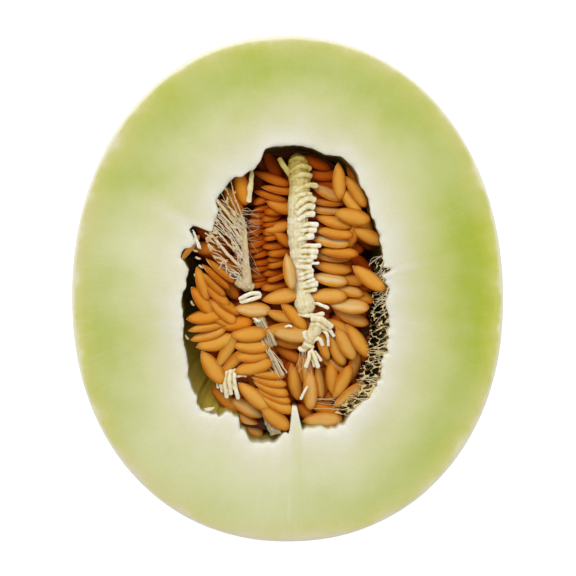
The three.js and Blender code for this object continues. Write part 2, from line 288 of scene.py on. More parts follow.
TUFT_PATH = ((-20.6, -28.4, -4.4), (-19.6, -29.6, -4), (-18.6, -30.4, -4.2))
TUFT_HALF_WIDTHS = (0.8, 1.3, 0.8)

# Stalks folded over the ridge: start and tip (x, y), how far the middle bows to the stem
# end, and the half thickness.
RIDGE_FOLDS = (
    (0.9, 42.2, 5.6, 43.2, 1.0, 0.95), (1.0, 38.8, 7.9, 39.9, 1.9, 1.05),
    (1.2, 36.2, 8.2, 37.6, 1.6, 1.0), (2.4, 32.6, 10.2, 34.4, 1.4, 0.95),
    (2.0, 30.6, 8.2, 31.8, 0.9, 0.85), (2.6, 27.4, 9.5, 29.6, 2.0, 1.15),
    (3.0, 25.2, 9.2, 27.5, 1.6, 1.1), (3.2, 23.4, 9.2, 25.3, 1.0, 1.05),
    (3.8, 21.7, 10.3, 21.8, 0.3, 0.9), (3.6, 20.1, 9.8, 20.1, 0.1, 0.9),
    (2.6, 16.8, 8.9, 18.3, 0.2, 1.15), (3.6, 14.7, 11.2, 14.8, 0.2, 0.8),
    (3.0, 13.0, 10.2, 13.1, 0.0, 1.15), (3.0, 11.3, 9.8, 11.4, -0.2, 0.9),
    (3.2, 9.9, 8.6, 10.3, -0.1, 0.8), (3.8, 9.0, 10.7, 9.0, 0.0, 0.55),
    (2.6, 8.0, 8.1, 7.3, 0.2, 1.0), (3.2, 4.8, 8.7, 6.7, 0.0, 0.9), (3.2, 3.4, 8.7, 5.2, 0.1, 0.95),
    (3.8, 1.5, 9.2, 3.5, 0.0, 0.75), (3.6, 0.4, 10.2, 2.1, 0.3, 1.05),
    (4.6, -1.2, 9.8, 0.3, 0.2, 0.75), (3.6, -8.0, 12.4, -8.0, -0.5, 0.85),
    (7.6, -4.4, 14.0, -6.4, 0.4, 0.65),
)
# Nearer the stem end than this the folds arch over the whole ridge.
ARCHES_FROM_Y = 23.0
# The low body beside the ridge that its stalks' ends lie on.
RIDGE_SHOULDER = ((4.2, 41.5, -9.0), (5.4, 38.4, -7.8), (6.0, 35.4, -6.6), (4.9, 32.6, -5.8),
                  (5.6, 29.4, -5.4), (6.2, 26.6, -5.2), (4.9, 23.6, -5.2), (6.1, 20.6, -5.2),
                  (5.2, 17.6, -5.2), (4.7, 15.4, -5.2), (6.1, 12.8, -5.2), (5.9, 10.2, -5.2),
                  (4.9, 8.0, -5.4), (4.8, 5.0, -5.6), (5.2, 2.2, -5.6), (5.2, -1.6, -5.6))
RIDGE_BRANCHES = (
    (RIDGE_SHOULDER, 1.8, 1.5),
    (((1.6, 37.4, -6.4), (-0.3, 40.2, -6.0), (-2.9, 43.9, -7.2)), 1.1, 0.85),
)
# The height of the stalks' tips along the ridge: y and height.
TIP_HEIGHTS = ((-10, -2.4), (10, -2.2), (24, -2.6), (32, -3.6), (38, -5.2), (44, -7.0))

# Stalks and bands that branch from the other strands: points from the root on, and the
# half thickness at both ends.
LOWER_BRANCHES = (
    (((7.6, -9.6, -2.0), (11.0, -9.8, -1.2), (14.9, -12.6, -1.8)), 1.15, 1.05),
    (((7.6, -11.8, -2.2), (10.4, -11.4, -1.4), (13.9, -13.4, -2.2)), 1.1, 0.85),
    (((11.6, -13.2, -2.4), (12.9, -14.6, -1.7), (13.5, -16.6, -1.9), (13.6, -19.0, -2.5)), 0.6, 0.5),
    (((12.2, -12.8, -2.6), (14.0, -13.6, -1.9), (15.6, -15.8, -2.4)), 0.65, 0.6),
    (((7.8, -17.2, -2.2), (10.2, -16.2, -1.4), (12.0, -18.9, -2.1)), 0.8, 0.65),
    (((5.4, -13.8, -2.4), (6.2, -16.0, -1.9), (8.4, -17.2, -2.0)), 0.9, 0.7),
    (((5.4, -18.0, -2.6), (7.0, -18.4, -1.9), (8.8, -19.4, -2.3)), 0.8, 0.75),
    (((3.8, -19.4, -3.4), (4.8, -20.4, -2.9), (6.6, -20.0, -2.8)), 0.75, 0.6),
    (((7.6, -20.2, -1.9), (7.0, -22.8, -1.2), (6.0, -26.2, -1.7)), 0.66, 0.74),
    (((7.7, -20.6, -2.2), (8.3, -23.2, -1.5), (9.2, -26.0, -1.9)), 0.62, 0.66),
    (((7.9, -19.8, -1.9), (9.0, -22.6, -0.9), (10.3, -26.2, -1.4)), 0.66, 0.74),
    (((9.0, -20.4, -2.4), (10.2, -22.2, -1.6), (11.2, -24.0, -2.0)), 0.55, 0.6),
)
LEFT_BRANCHES = (
    (((-24.0, 31.2, -1.2), (-19.6, 25.4, -2.2), (-15.0, 19.4, -3.0)), 0.6, 0.5),
    (((-23.6, 28.2, -1.6), (-18.6, 21.6, -2.4), (-14.8, 16.6, -3.0)), 0.4, 0.55),
    (((-26.8, 24.4, -1.0), (-20.8, 17.0, -2.2), (-15.0, 10.8, -3.0)), 0.3, 0.45),
    (((-26.0, 20.0, -1.8), (-22.0, 14.8, -2.2), (-17.6, 9.8, -2.6), (-14.4, 7.4, -3.2)), 0.5, 0.6),
    (((-19.4, 39.4, -1.6), (-17.6, 31.4, -2.6), (-15.0, 24.6, -3.3)), 0.22, 0.3),
    (((-21.6, 37.4, -1.4), (-18.4, 29.6, -2.4), (-15.0, 22.4, -3.2)), 0.2, 0.3),
    (((-25.0, 28.4, -0.9), (-19.6, 21.0, -1.9), (-15.2, 15.6, -2.8)), 0.18, 0.26),
    (((-22.8, 34.6, -1.0), (-18.8, 26.8, -2.2), (-15.0, 20.6, -3.0)), 0.2, 0.3),
    (((-17.0, 3.4, -4.6), (-14.4, 1.8, -3.9), (-11.4, 0.4, -4.8)), 1.9, 1.6),
    (((-31.6, 13.8, -4.0), (-30.8, 13.4, -3.4), (-29.8, 13.0, -3.8)), 0.45, 0.4),
    (((-30.6, 11.2, -4.2), (-29.8, 10.9, -3.5), (-28.9, 10.5, -3.9)), 0.45, 0.4),
    (((-29.6, 8.4, -4.2), (-28.9, 8.0, -3.5), (-28.0, 7.4, -3.9)), 0.5, 0.4),
    (((-31.2, 5.4, -4.0), (-30.6, 4.8, -3.4), (-29.8, 4.0, -3.8)), 0.45, 0.4),
    (((-32.2, -3.6, -4.0), (-31.7, -4.4, -3.4), (-31.0, -5.2, -3.8)), 0.45, 0.4),
    (((-34.2, -15.0, -4.0), (-33.7, -15.9, -3.3), (-32.8, -16.6, -3.6)), 0.45, 0.4),
)
STALK_BRANCHES = (
    (((-16.4, -3.2, -2.7), (-14.0, -1.7, -2.2), (-11.6, -0.9, -2.2), (-9.6, -0.9, -2.4),
      (-9.2, -1.7, -2.5), (-10.8, -2.6, -2.3), (-13.4, -3.3, -2.3), (-16.0, -4.1, -2.7)), 0.72, 0.7),
    (((-11.6, -9.4, -4.0), (-10.4, -10.0, -2.6), (-9.2, -10.8, -3.0)), 0.5, 0.45),
    (((-1.0, -12.4, -2.0), (0.3, -11.9, -1.2), (1.6, -12.1, -1.5)), 0.5, 0.45),
    (((6.6, -32.2, -1.6), (5.4, -34.4, -0.9), (4.2, -36.8, -1.4)), 0.42, 0.55),
    (((-11.2, -10.8, -4.0), (-10.0, -10.4, -2.5), (-8.4, -9.8, -3.0)), 0.45, 0.4),
)
TUFT_BRANCHES = (
    (((-21.0, -27.0, -2.6), (-22.2, -30.2, -1.5), (-21.9, -34.4, -2.0)), 0.75, 0.72),
    (((-20.2, -26.8, -2.2), (-20.9, -31.0, -1.0), (-20.4, -36.2, -1.7)), 0.8, 0.75),
    (((-19.0, -26.4, -2.0), (-19.6, -30.0, -0.7), (-18.9, -35.0, -1.4)), 0.78, 0.76),
    (((-17.6, -26.2, -2.2), (-18.0, -29.2, -0.9), (-17.2, -33.4, -1.3)), 0.76, 0.72),
    (((-18.4, -31.0, -1.2), (-17.2, -33.6, -0.7), (-16.4, -36.6, -1.5)), 0.75, 0.75),
    (((-17.4, -29.0, -1.8), (-15.6, -28.6, -1.5), (-13.6, -28.9, -2.1)), 0.5, 0.45),
    (((-22.2, -27.8, -2.4), (-23.4, -30.2, -2.1), (-23.2, -33.0, -2.6)), 0.6, 0.6),
)

# Fans of fibres: the two ends of the line they start from and of the one they end on, how
# many, their sag, share of the usual thickness and the heights of both lines.
FIBRE_FANS = (
    # web at the strand's foot
    ((-25.0, 13.0), (-22.0, 6.0), (-17.4, 9.0), (-15.4, 3.0), 6, 0.6, 0.9, -2.4, -2.4),
    # wisps over the stack
    ((-14.6, 28.0), (-13.4, 6.0), (-10.0, 25.0), (-9.0, 3.0), 14, 0.3, 0.55, -3.4, -6.2),
    # wisps at the stack's head
    ((-15.4, 27.0), (-14.8, 20.0), (-9.0, 27.0), (-9.6, 18.0), 9, 0.4, 0.7, -3.2, -5.6),
    # strings in the middle
    ((-9.0, -16.4), (-5.8, -19.4), (-2.8, -29.4), (-0.4, -27.6), 13, 0.5, 1.7, -1.8, -1.4),
    # strings over the lower left
    ((-8.6, -24.0), (-5.0, -21.6), (-2.4, -32.0), (-1.4, -28.0), 5, 0.6, 1.2, -1.4, -1.8),
    # strings at the lower right
    ((7.0, -37.6), (8.8, -40.6), (20.0, -37.6), (17.0, -41.6), 8, 0.8, 0.9, -5.0, -4.4),
    # strings under the tongue
    ((-8.4, -41.4), (-6.0, -44.0), (-5.0, -47.4), (-1.8, -49.0), 10, 0.4, 0.8, -1.6, -2.2),
    # strings by the lower strand
    ((4.0, -20.0), (8.0, -20.6), (2.4, -27.6), (8.4, -29.0), 8, 0.4, 0.7, -2.0, -2.6),
    # rim strings at the right
    ((30.5, 13.0), (33.4, 4.0), (27.0, 8.0), (30.5, -2.0), 9, 0.6, 1.0, -0.8, -3.6),
    # fuzz along the left strand
    ((-17.6, 27.0), (-16.4, 8.0), (-13.6, 22.0), (-12.4, 3.0), 26, 0.2, 1.1, -2.3, -3.0),
    # threads from the left wall
    ((-22.6, 34.0), (-27.0, 17.0), (-15.6, 23.0), (-14.4, 6.0), 16, 0.6, 1.2, -1.2, -2.4),
    # strings below the loop
    ((-11.0, -9.2), (-8.0, -8.8), (-6.6, -20.0), (-3.6, -18.4), 9, 0.4, 1.1, -2.4, -1.7),
    # threads at the strand's foot
    ((-18.4, 8.0), (-17.0, 3.0), (-14.0, 1.6), (-11.8, 0.2), 9, 0.2, 1.2, -1.8, -2.8),
)
# Single threads: their points and half thickness.
SINGLE_FIBRES = (
    (((-23.6, 25.8, -1.6), (-20.2, 22.3, -1.8), (-18.3, 19.8, -1.9), (-15.6, 16.0, -2.4)), 0.2),
    (((-21.3, 10.8, -2.2), (-22.2, 9.2, -1.6), (-23.6, 6.6, -2.0)), 0.14),
    (((-21.3, 10.8, -2.2), (-20.6, 9.0, -1.6), (-20.4, 5.6, -2.2)), 0.16),
    (((-25.2, 13.0, -2.4), (-22.4, 11.8, -1.6), (-19.0, 6.2, -2.0)), 0.13),
)
# The ring of tissue at the left strand's foot: middle, radius and half thickness.
RING = ((-17.7, 5.2, -1.9), 1.25, 0.17)


def linear(code):
    """Linear RGBA of an sRGB hex colour."""
    values = [int(code[i:i + 2], 16) / 255 for i in (0, 2, 4)]
    return [v / 12.92 if v <= 0.04045 else ((v + 0.055) / 1.055) ** 2.4 for v in values] + [1.0]


def colour(name, code, description):
    """A colour that the user can set, with its sRGB hex default."""
    return FloatVectorProperty(name=name, description=description, subtype="COLOR", size=3,
                               min=0.0, max=1.0, default=linear(code)[:3])


def number(name, default, description, **settings):
    """A number that the user can set."""
    return FloatProperty(name=name, description=description, default=default, **settings)


def whole_number(name, default, description):
    """A whole number that the user can set."""
    return IntProperty(name=name, description=description, default=default, min=0)


def length(name, millimetres, description):
    """A length that the user can set, with its default in millimetres."""
    return number(name, millimetres * MM, description, unit="LENGTH", min=0.0, precision=5)


# ---- Node trees ----


def add(tree, kind, inputs=None, **settings):
    """Adds a node with its settings. Each input is a value, or the output it is linked from."""
    node = tree.nodes.new(kind)
    for name, value in settings.items():
        setattr(node, name, value)
    for key, value in (inputs or {}).items():
        if isinstance(value, bpy.types.NodeSocket):
            tree.links.new(value, node.inputs[key])
        else:
            node.inputs[key].default_value = value
    return node


class Look:
    """A node material that is being put together. Its methods add nodes and return an output.
    What they take is a value, a colour, or the output that is linked to it."""

    def __init__(self, name):
        self.material = bpy.data.materials.new(name)
        self.material.use_nodes = True
        self.tree = self.material.node_tree
        self.tree.nodes.clear()

    def place(self, axis=None):
        """Each point's place on the object in metres, or how far along one axis it is."""
        place = add(self.tree, "ShaderNodeTexCoord").outputs["Object"]
        if axis is None:
            return place
        return add(self.tree, "ShaderNodeSeparateXYZ", {0: place}).outputs[axis]

    def attribute(self, name):
        """A value stored on the mesh."""
        return add(self.tree, "ShaderNodeAttribute", attribute_name=name).outputs["Fac"]

    def noise(self, scale, detail, place=None, roughness=0.5):
        """Clouds from 0 to 1, about this many in a metre."""
        node = add(self.tree, "ShaderNodeTexNoise", {
            "Vector": place or self.place(), "Scale": scale, "Detail": detail,
            "Roughness": roughness})
        return node.outputs["Fac"]

    def number(self, operation, *values, clamp=False):
        """The result of a calculation with numbers."""
        return add(self.tree, "ShaderNodeMath", dict(enumerate(values)), operation=operation,
                   use_clamp=clamp).outputs[0]

    def vector(self, operation, *values):
        """The result of a calculation with vectors."""
        return add(self.tree, "ShaderNodeVectorMath", dict(enumerate(values)),
                   operation=operation).outputs[0]

    def spread(self, value, low, high, start=0.0, end=1.0):
        """Runs from start to end while a value runs from low to high."""
        node = add(self.tree, "ShaderNodeMapRange", {
            "Value": value, "From Min": low, "From Max": high, "To Min": start, "To Max": end})
        return node.outputs[0]

    def shifted(self, value, clouds, size, **settings):
        """A value pushed up and down by clouds."""
        push = self.number("ADD", clouds, -0.5)
        return self.number("MULTIPLY_ADD", push, size, value, **settings)

    def ramp(self, factor, *stops):
        """A colour ramp through (position, sRGB hex or linear colour) stops."""
        node = add(self.tree, "ShaderNodeValToRGB", {"Fac": factor})
        elements = node.color_ramp.elements
        while len(elements) < len(stops):
            elements.new(0.5)
        for element, (position, value) in zip(elements, stops):
            element.position = position
            element.color = linear(value) if isinstance(value, str) else [*value[:3], 1.0]
        return node.outputs["Color"]

    def blend(self, factor, first, second, blend="MIX"):
        """Mixes two colours."""
        pair = [c if isinstance(c, bpy.types.NodeSocket) else [*c[:3], 1.0]
                for c in (first, second)]
        node = add(self.tree, "ShaderNodeMix", {"Factor": factor, 6: pair[0], 7: pair[1]},
                   data_type="RGBA", blend_type=blend)
        return node.outputs[2]

    def with_painted_shade(self, body, factor, *stops):
        """A colour darkened by a ramp's colours: painted shade."""
        return self.blend(1.0, body, self.ramp(factor, *stops), "MULTIPLY")

    def finish(self, inputs, relief=None, glow=None):
        """Ends the material in a surface. Relief: a height from 0 to 1, its strength and its
        size in metres. Glow: how much light the surface lets in, how far red, green and
        blue get in it against each other, and how far in metres."""
        if relief:
            bump = add(self.tree, "ShaderNodeBump",
                       dict(zip(("Height", "Strength", "Distance"), relief)))
            inputs["Normal"] = bump.outputs[0]
        if glow:
            inputs.update(zip(("Subsurface Weight", "Subsurface Radius", "Subsurface Scale"),
                              glow))
        shader = add(self.tree, "ShaderNodeBsdfPrincipled", inputs)
        add(self.tree, "ShaderNodeOutputMaterial", {"Surface": shader.outputs[0]})
        return self.material


def depths_below_cut(deepest, highest):
    """The heights in metres of two depths in mm below the cut face."""
    return (CUT_HEIGHT - deepest) * MM, (CUT_HEIGHT - highest) * MM


def stored(tree, name, kind="FLOAT"):
    """What an attribute of the mesh holds at each point, for a geometry tree."""
    return add(tree, "GeometryNodeInputNamedAttribute", {"Name": name},
               data_type=kind).outputs["Attribute"]


def geometry_tree(name, inputs):
    """A geometry node tree with these named inputs, its input sockets by name, and the
    identifiers that a modifier sets them by."""
    tree = bpy.data.node_groups.new(name, "GeometryNodeTree")

    def socket(label, kind, way="INPUT"):
        return tree.interface.new_socket(label, in_out=way, socket_type="NodeSocket" + kind)

    socket("Geometry", "Geometry", "OUTPUT")
    socket("Geometry", "Geometry")
    keys = {label: socket(label, kind).identifier for label, kind in inputs}
    entry = tree.nodes.new("NodeGroupInput")
    return tree, {output.name: output for output in entry.outputs if output.name}, keys


def end_tree(tree, geometry, material):
    """Ends a geometry tree in Realize Instances and Set Material."""
    whole = add(tree, "GeometryNodeRealizeInstances", {"Geometry": geometry})
    shaded = add(tree, "GeometryNodeSetShadeSmooth", {"Geometry": whole.outputs[0]})
    painted = add(tree, "GeometryNodeSetMaterial",
                  {"Geometry": shaded.outputs[0], "Material": material})
    leave = tree.nodes.new("NodeGroupOutput")
    tree.links.new(painted.outputs[0], leave.inputs[0])


def grown(name, source, tree, keys, values, finishing=()):
    """The plain mesh that a geometry tree grows from a source object."""
    modifier = source.modifiers.new("growth", "NODES")
    modifier.node_group = tree
    for label, value in values.items():
        modifier[keys[label]] = value
    return finished(name, source, finishing)


def finished(name, source, finishing):
    """A plain mesh made with the source's modifiers and then these, (kind, settings) pairs.
    The source is removed."""
    for kind, settings in finishing:
        finish = source.modifiers.new(kind.lower(), kind)
        for key, value in settings.items():
            setattr(finish, key, value)
    bpy.context.view_layer.update()
    graph = bpy.context.evaluated_depsgraph_get()
    mesh = bpy.data.meshes.new_from_object(source.evaluated_get(graph),
                                           preserve_all_data_layers=True, depsgraph=graph)
    mesh.name = name
    bpy.data.objects.remove(source)
    return linked(name, mesh)


def linked(name, data):
    """A new object in the scene."""
    created = bpy.data.objects.new(name, data)
    bpy.context.scene.collection.objects.link(created)
    return created


def melted(voxel, factor, turns):
    """Modifiers that merge what overlaps on a grid and then smooth the surface."""
    return (("REMESH", {"mode": "VOXEL", "voxel_size": voxel, "use_smooth_shade": True}),
            ("SMOOTH", {"factor": factor, "iterations": turns}))


# ---- Outlines and surfaces ----


def smooth(value):
    """0 below 0, 1 above 1, and a smooth step between."""
    value = np.clip(value, 0, 1)
    return value * value * (3 - 2 * value)


def plateau(angle, start, end, run):
    """0 before start, 1 from one run later until one run before end, and 0 after."""
    along = (angle - start) % 360
    return smooth(along / run) * (1 - smooth((along - (end - start - run)) / run))


def sum_of_plateaus(parts, angle):
    """The summed reach of plateaus at an angle."""
    return sum(reach * plateau(angle, start, end, run) for start, end, run, reach in parts)


def angle_of(x, y):
    """The angle about the middle of the cut face, from +X towards +Y."""
    return np.degrees(np.arctan2(y, x)) % 360


def spokes(angle):
    """Unit vectors on the cut face."""
    return np.stack([np.cos(np.radians(angle)), np.sin(np.radians(angle))], axis=-1)


def plain_rim(angle):
    """The cavity's rim without its tears: a rounded oval, squarer at the blossom end."""
    across, along = spokes(angle).T
    width = np.where(across > 0, CAVITY_RIGHT, CAVITY_LEFT)
    reach = np.where(along > 0, CAVITY_STEM, CAVITY_BLOSSOM)
    power = np.where(along > 0, CAVITY_STEM_FULLNESS, CAVITY_BLOSSOM_FULLNESS)
    return ((np.abs(across) / width) ** power + (np.abs(along) / reach) ** power) ** (-1 / power)


def heap_top(x, y):
    """Height of the seed heap's top."""
    height = np.full(np.shape(x), HEAP_LEVEL, float)
    for px, py, along_x, along_y, rise in HEAP_RELIEF:
        height += rise * np.exp(-(((x - px) / along_x) ** 2) - ((y - py) / along_y) ** 2)
    return height


def waves(points, count, lengths, seed):
    """Gentle unevenness from about -1 to 1 at each point: random plane waves."""
    generator = np.random.default_rng(seed)
    total = np.zeros(len(points))
    for _ in range(count):
        direction = generator.normal(size=points.shape[1])
        direction /= np.linalg.norm(direction)
        wavelength = generator.uniform(*lengths)
        phase = generator.uniform(0, 2 * math.pi)
        total += np.sin(2 * math.pi * (points @ direction) / wavelength + phase)
    return total / math.sqrt(count)


# Steps of a smooth curve between two of its given points.
CURVE_STEPS = 20


def smooth_path(points, count):
    """Evenly spaced points on a smooth curve through the given ones (Catmull-Rom)."""
    points = np.asarray(points, float)
    padded = np.vstack([2 * points[0] - points[1], points, 2 * points[-1] - points[-2]])
    fine = []
    for i in range(len(points) - 1):
        a, b, c, d = padded[i:i + 4]
        for t in np.linspace(0, 1, CURVE_STEPS, endpoint=False):
            fine.append(0.5 * (2 * b + (c - a) * t + (2 * a - 5 * b + 4 * c - d) * t ** 2
                               + (3 * b - a - 3 * c + d) * t ** 3))
    fine = np.array([*fine, points[-1]])
    along = np.concatenate([[0], np.cumsum(np.linalg.norm(np.diff(fine, axis=0), axis=1))])
    wanted = np.linspace(0, along[-1], count)
    return np.column_stack([np.interp(wanted, along, fine[:, i]) for i in range(3)])


# ---- Meshes ----


def mesh_object(name, vertices, faces, materials=(), attributes=None, edges=()):
    """A smooth-shaded object from vertices in mm, with attributes on its vertices: plain
    values become floats, whole numbers integers and triples vectors."""
    mesh = bpy.data.meshes.new(name)
    mesh.from_pydata((np.asarray(vertices, float) * MM).tolist(), edges, faces)
    mesh.update()
    mesh.shade_smooth()
    for material in materials:
        mesh.materials.append(material)
    for key, values in (attributes or {}).items():
        values = np.asarray(values)
        kind, field, number = "FLOAT", "value", np.float32
        if values.ndim == 2:
            kind, field = "FLOAT_VECTOR", "vector"
        elif values.dtype.kind == "i":
            kind, number = "INT", np.int32
        layer = mesh.attributes.new(key, kind, "POINT")
        layer.data.foreach_set(field, values.astype(number).ravel())
    return linked(name, mesh)


def shell_faces(rings, sides):
    """Quads between rings of equal numbers of points, and a fan to a pole at each end.
    The poles are the last two vertices."""
    ring, side = np.meshgrid(np.arange(rings - 1), np.arange(sides), indexing="ij")
    following = (side + 1) % sides
    quads = np.stack([ring * sides + side, ring * sides + following,
                      (ring + 1) * sides + following, (ring + 1) * sides + side], axis=-1)
    around = np.arange(sides)
    last = (rings - 1) * sides
    start = np.stack([(around + 1) % sides, around, np.full(sides, rings * sides)], axis=-1)
    end = np.stack([last + around, last + (around + 1) % sides,
                    np.full(sides, rings * sides + 1)], axis=-1)
    return quads.reshape(-1, 4).tolist() + start.tolist() + end.tolist()


def closed_shell(name, rings, poles, materials, attributes=None):
    """A closed body through rings of points and a pole at each end, with heights counted
    from the cut face."""
    vertices = np.vstack([*rings, poles])
    vertices[:, 2] += CUT_HEIGHT
    return mesh_object(name, vertices, shell_faces(len(rings), len(rings[0])), materials,
                       attributes)


def vertex_arrays(mesh):
    """A mesh's vertices and their normals."""
    arrays = []
    for field in ("co", "normal"):
        values = np.empty(3 * len(mesh.vertices))
        mesh.vertices.foreach_get(field, values)
        arrays.append(values.reshape(-1, 3))
    return arrays


def ride_root(piece, slot, *nodes):
    """Fixes a finished piece to the part's one body and hides the nodes it stands for."""
    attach(piece, "root")
    if nodes:
        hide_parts(*nodes)


def ride_at_cut(piece, slot, *nodes):
    """Raises a piece whose heights are counted from the cut face, and fixes it there."""
    piece.data.transform(Matrix.Translation((0, 0, CUT_HEIGHT * MM)))
    ride_root(piece, slot, *nodes)


# ---- Stage ----


class StageSettings(PropertyGroup):
    view_distance: number("View Distance", 1.6, "Camera to the cut face", unit="LENGTH", min=0.3)
    view_width: number("View Width", 0.1914, "Width seen at the cut face", unit="LENGTH",
                       min=0.01)
    view_tilt: number("View Tilt", math.radians(9.5), "Camera's tilt from straight above",
                      subtype="ANGLE")
    view_rise: length("View Rise", 1.16, "How far past the middle, to the stem end, it looks")
    view_heading: number("View Heading", math.radians(105), "Side the camera leans to",
                         subtype="ANGLE")
    key_power: number("Key Light", 15.0, "Power of the large soft light", unit="POWER", min=0.0)
    fill_power: number("Fill Light", 3.2, "Power of the second soft light", unit="POWER", min=0.0)
    sky: number("Studio Walls", 0.5, "Strength of the white surroundings", min=0.0)
    floor: colour("Floor", "F7F7F5", "Pale sweep under the fruit")


class MELON_OT_stage(Operator):
    """Adds the pale floor, the soft lights and the camera over the cut face"""
    bl_idname = "melon.stage"
    bl_label = "Stage"

    SENSOR_WIDTH = 36.0
    FLOOR_SIDE = 3000.0
    LAMPS = (("key_light", (-0.45, 1.0, 1.25), 0.75), ("fill_light", (0.9, -0.2, 1.1), 1.2))

    def execute(self, context):
        settings = context.scene.melon_stage
        context.scene.view_settings.view_transform = "Standard"
        self.make_floor(settings)
        self.make_lights(context.scene, settings)
        self.make_camera(context.scene, settings)
        return {"FINISHED"}

    def make_floor(self, settings):
        """A pale matt sweep, lit a little from behind as an acrylic light table is."""
        material = Look("pale_acrylic_sweep").finish({
            "Base Color": [*settings.floor, 1.0], "Roughness": 0.9,
            "Emission Color": linear("FFFFFF"), "Emission Strength": 0.55})
        side = self.FLOOR_SIDE
        corners = ((-side, -side, 0), (side, -side, 0), (side, side, 0), (-side, side, 0))
        mesh_object("floor", corners, [(0, 1, 2, 3)], [material])

    def make_lights(self, scene, settings):
        """White surroundings, a large soft light from the stem end and a weaker one."""
        world = bpy.data.worlds.new("studio")
        world.use_nodes = True
        background = world.node_tree.nodes["Background"]
        background.inputs["Color"].default_value = linear("FFFFFF")
        background.inputs["Strength"].default_value = settings.sky
        scene.world = world
        aim = Vector((0, 0, CUT_HEIGHT * MM))
        powers = (settings.key_power, settings.fill_power)
        for (name, place, size), power in zip(self.LAMPS, powers):
            lamp = bpy.data.lights.new(name, "AREA")
            lamp.size = size
            lamp.energy = power
            light = linked(name, lamp)
            light.location = place
            light.rotation_euler = (aim - light.location).to_track_quat("-Z", "Y").to_euler()

    def make_camera(self, scene, settings):
        """A long lens over the cut face, with the stem end up in the picture."""
        data = bpy.data.cameras.new("camera")
        data.sensor_width = self.SENSOR_WIDTH
        data.lens = self.SENSOR_WIDTH * settings.view_distance / settings.view_width
        tilt, heading = settings.view_tilt, settings.view_heading
        back = Vector((math.sin(tilt) * math.cos(heading), math.sin(tilt) * math.sin(heading),
                       math.cos(tilt)))
        up = (Vector((0, 1, 0)) - back * back.y).normalized()
        aim = Vector((0, settings.view_rise, CUT_HEIGHT * MM))
        camera = linked("camera", data)
        camera.location = aim + back * settings.view_distance
        camera.rotation_euler = Matrix((up.cross(back), up, back)).transposed().to_euler()
        scene.camera = camera


# ---- Flesh ----


class FleshSettings(PropertyGroup):
    raggedness: length("Rim Raggedness", 0.16, "Size of the small tears along the rim")
    swell: length("Swell", 0.1, "Unevenness of the cut face")
    rind: colour("Rind", "D0D0A4", "Waxy skin")
    rind_edge: colour("Rind Edge", "EFEBD8", "Thin cream line round the cut face")
    fibre: colour("Fibre", "EFEBDD", "Faint fibres from the rind to the cavity")


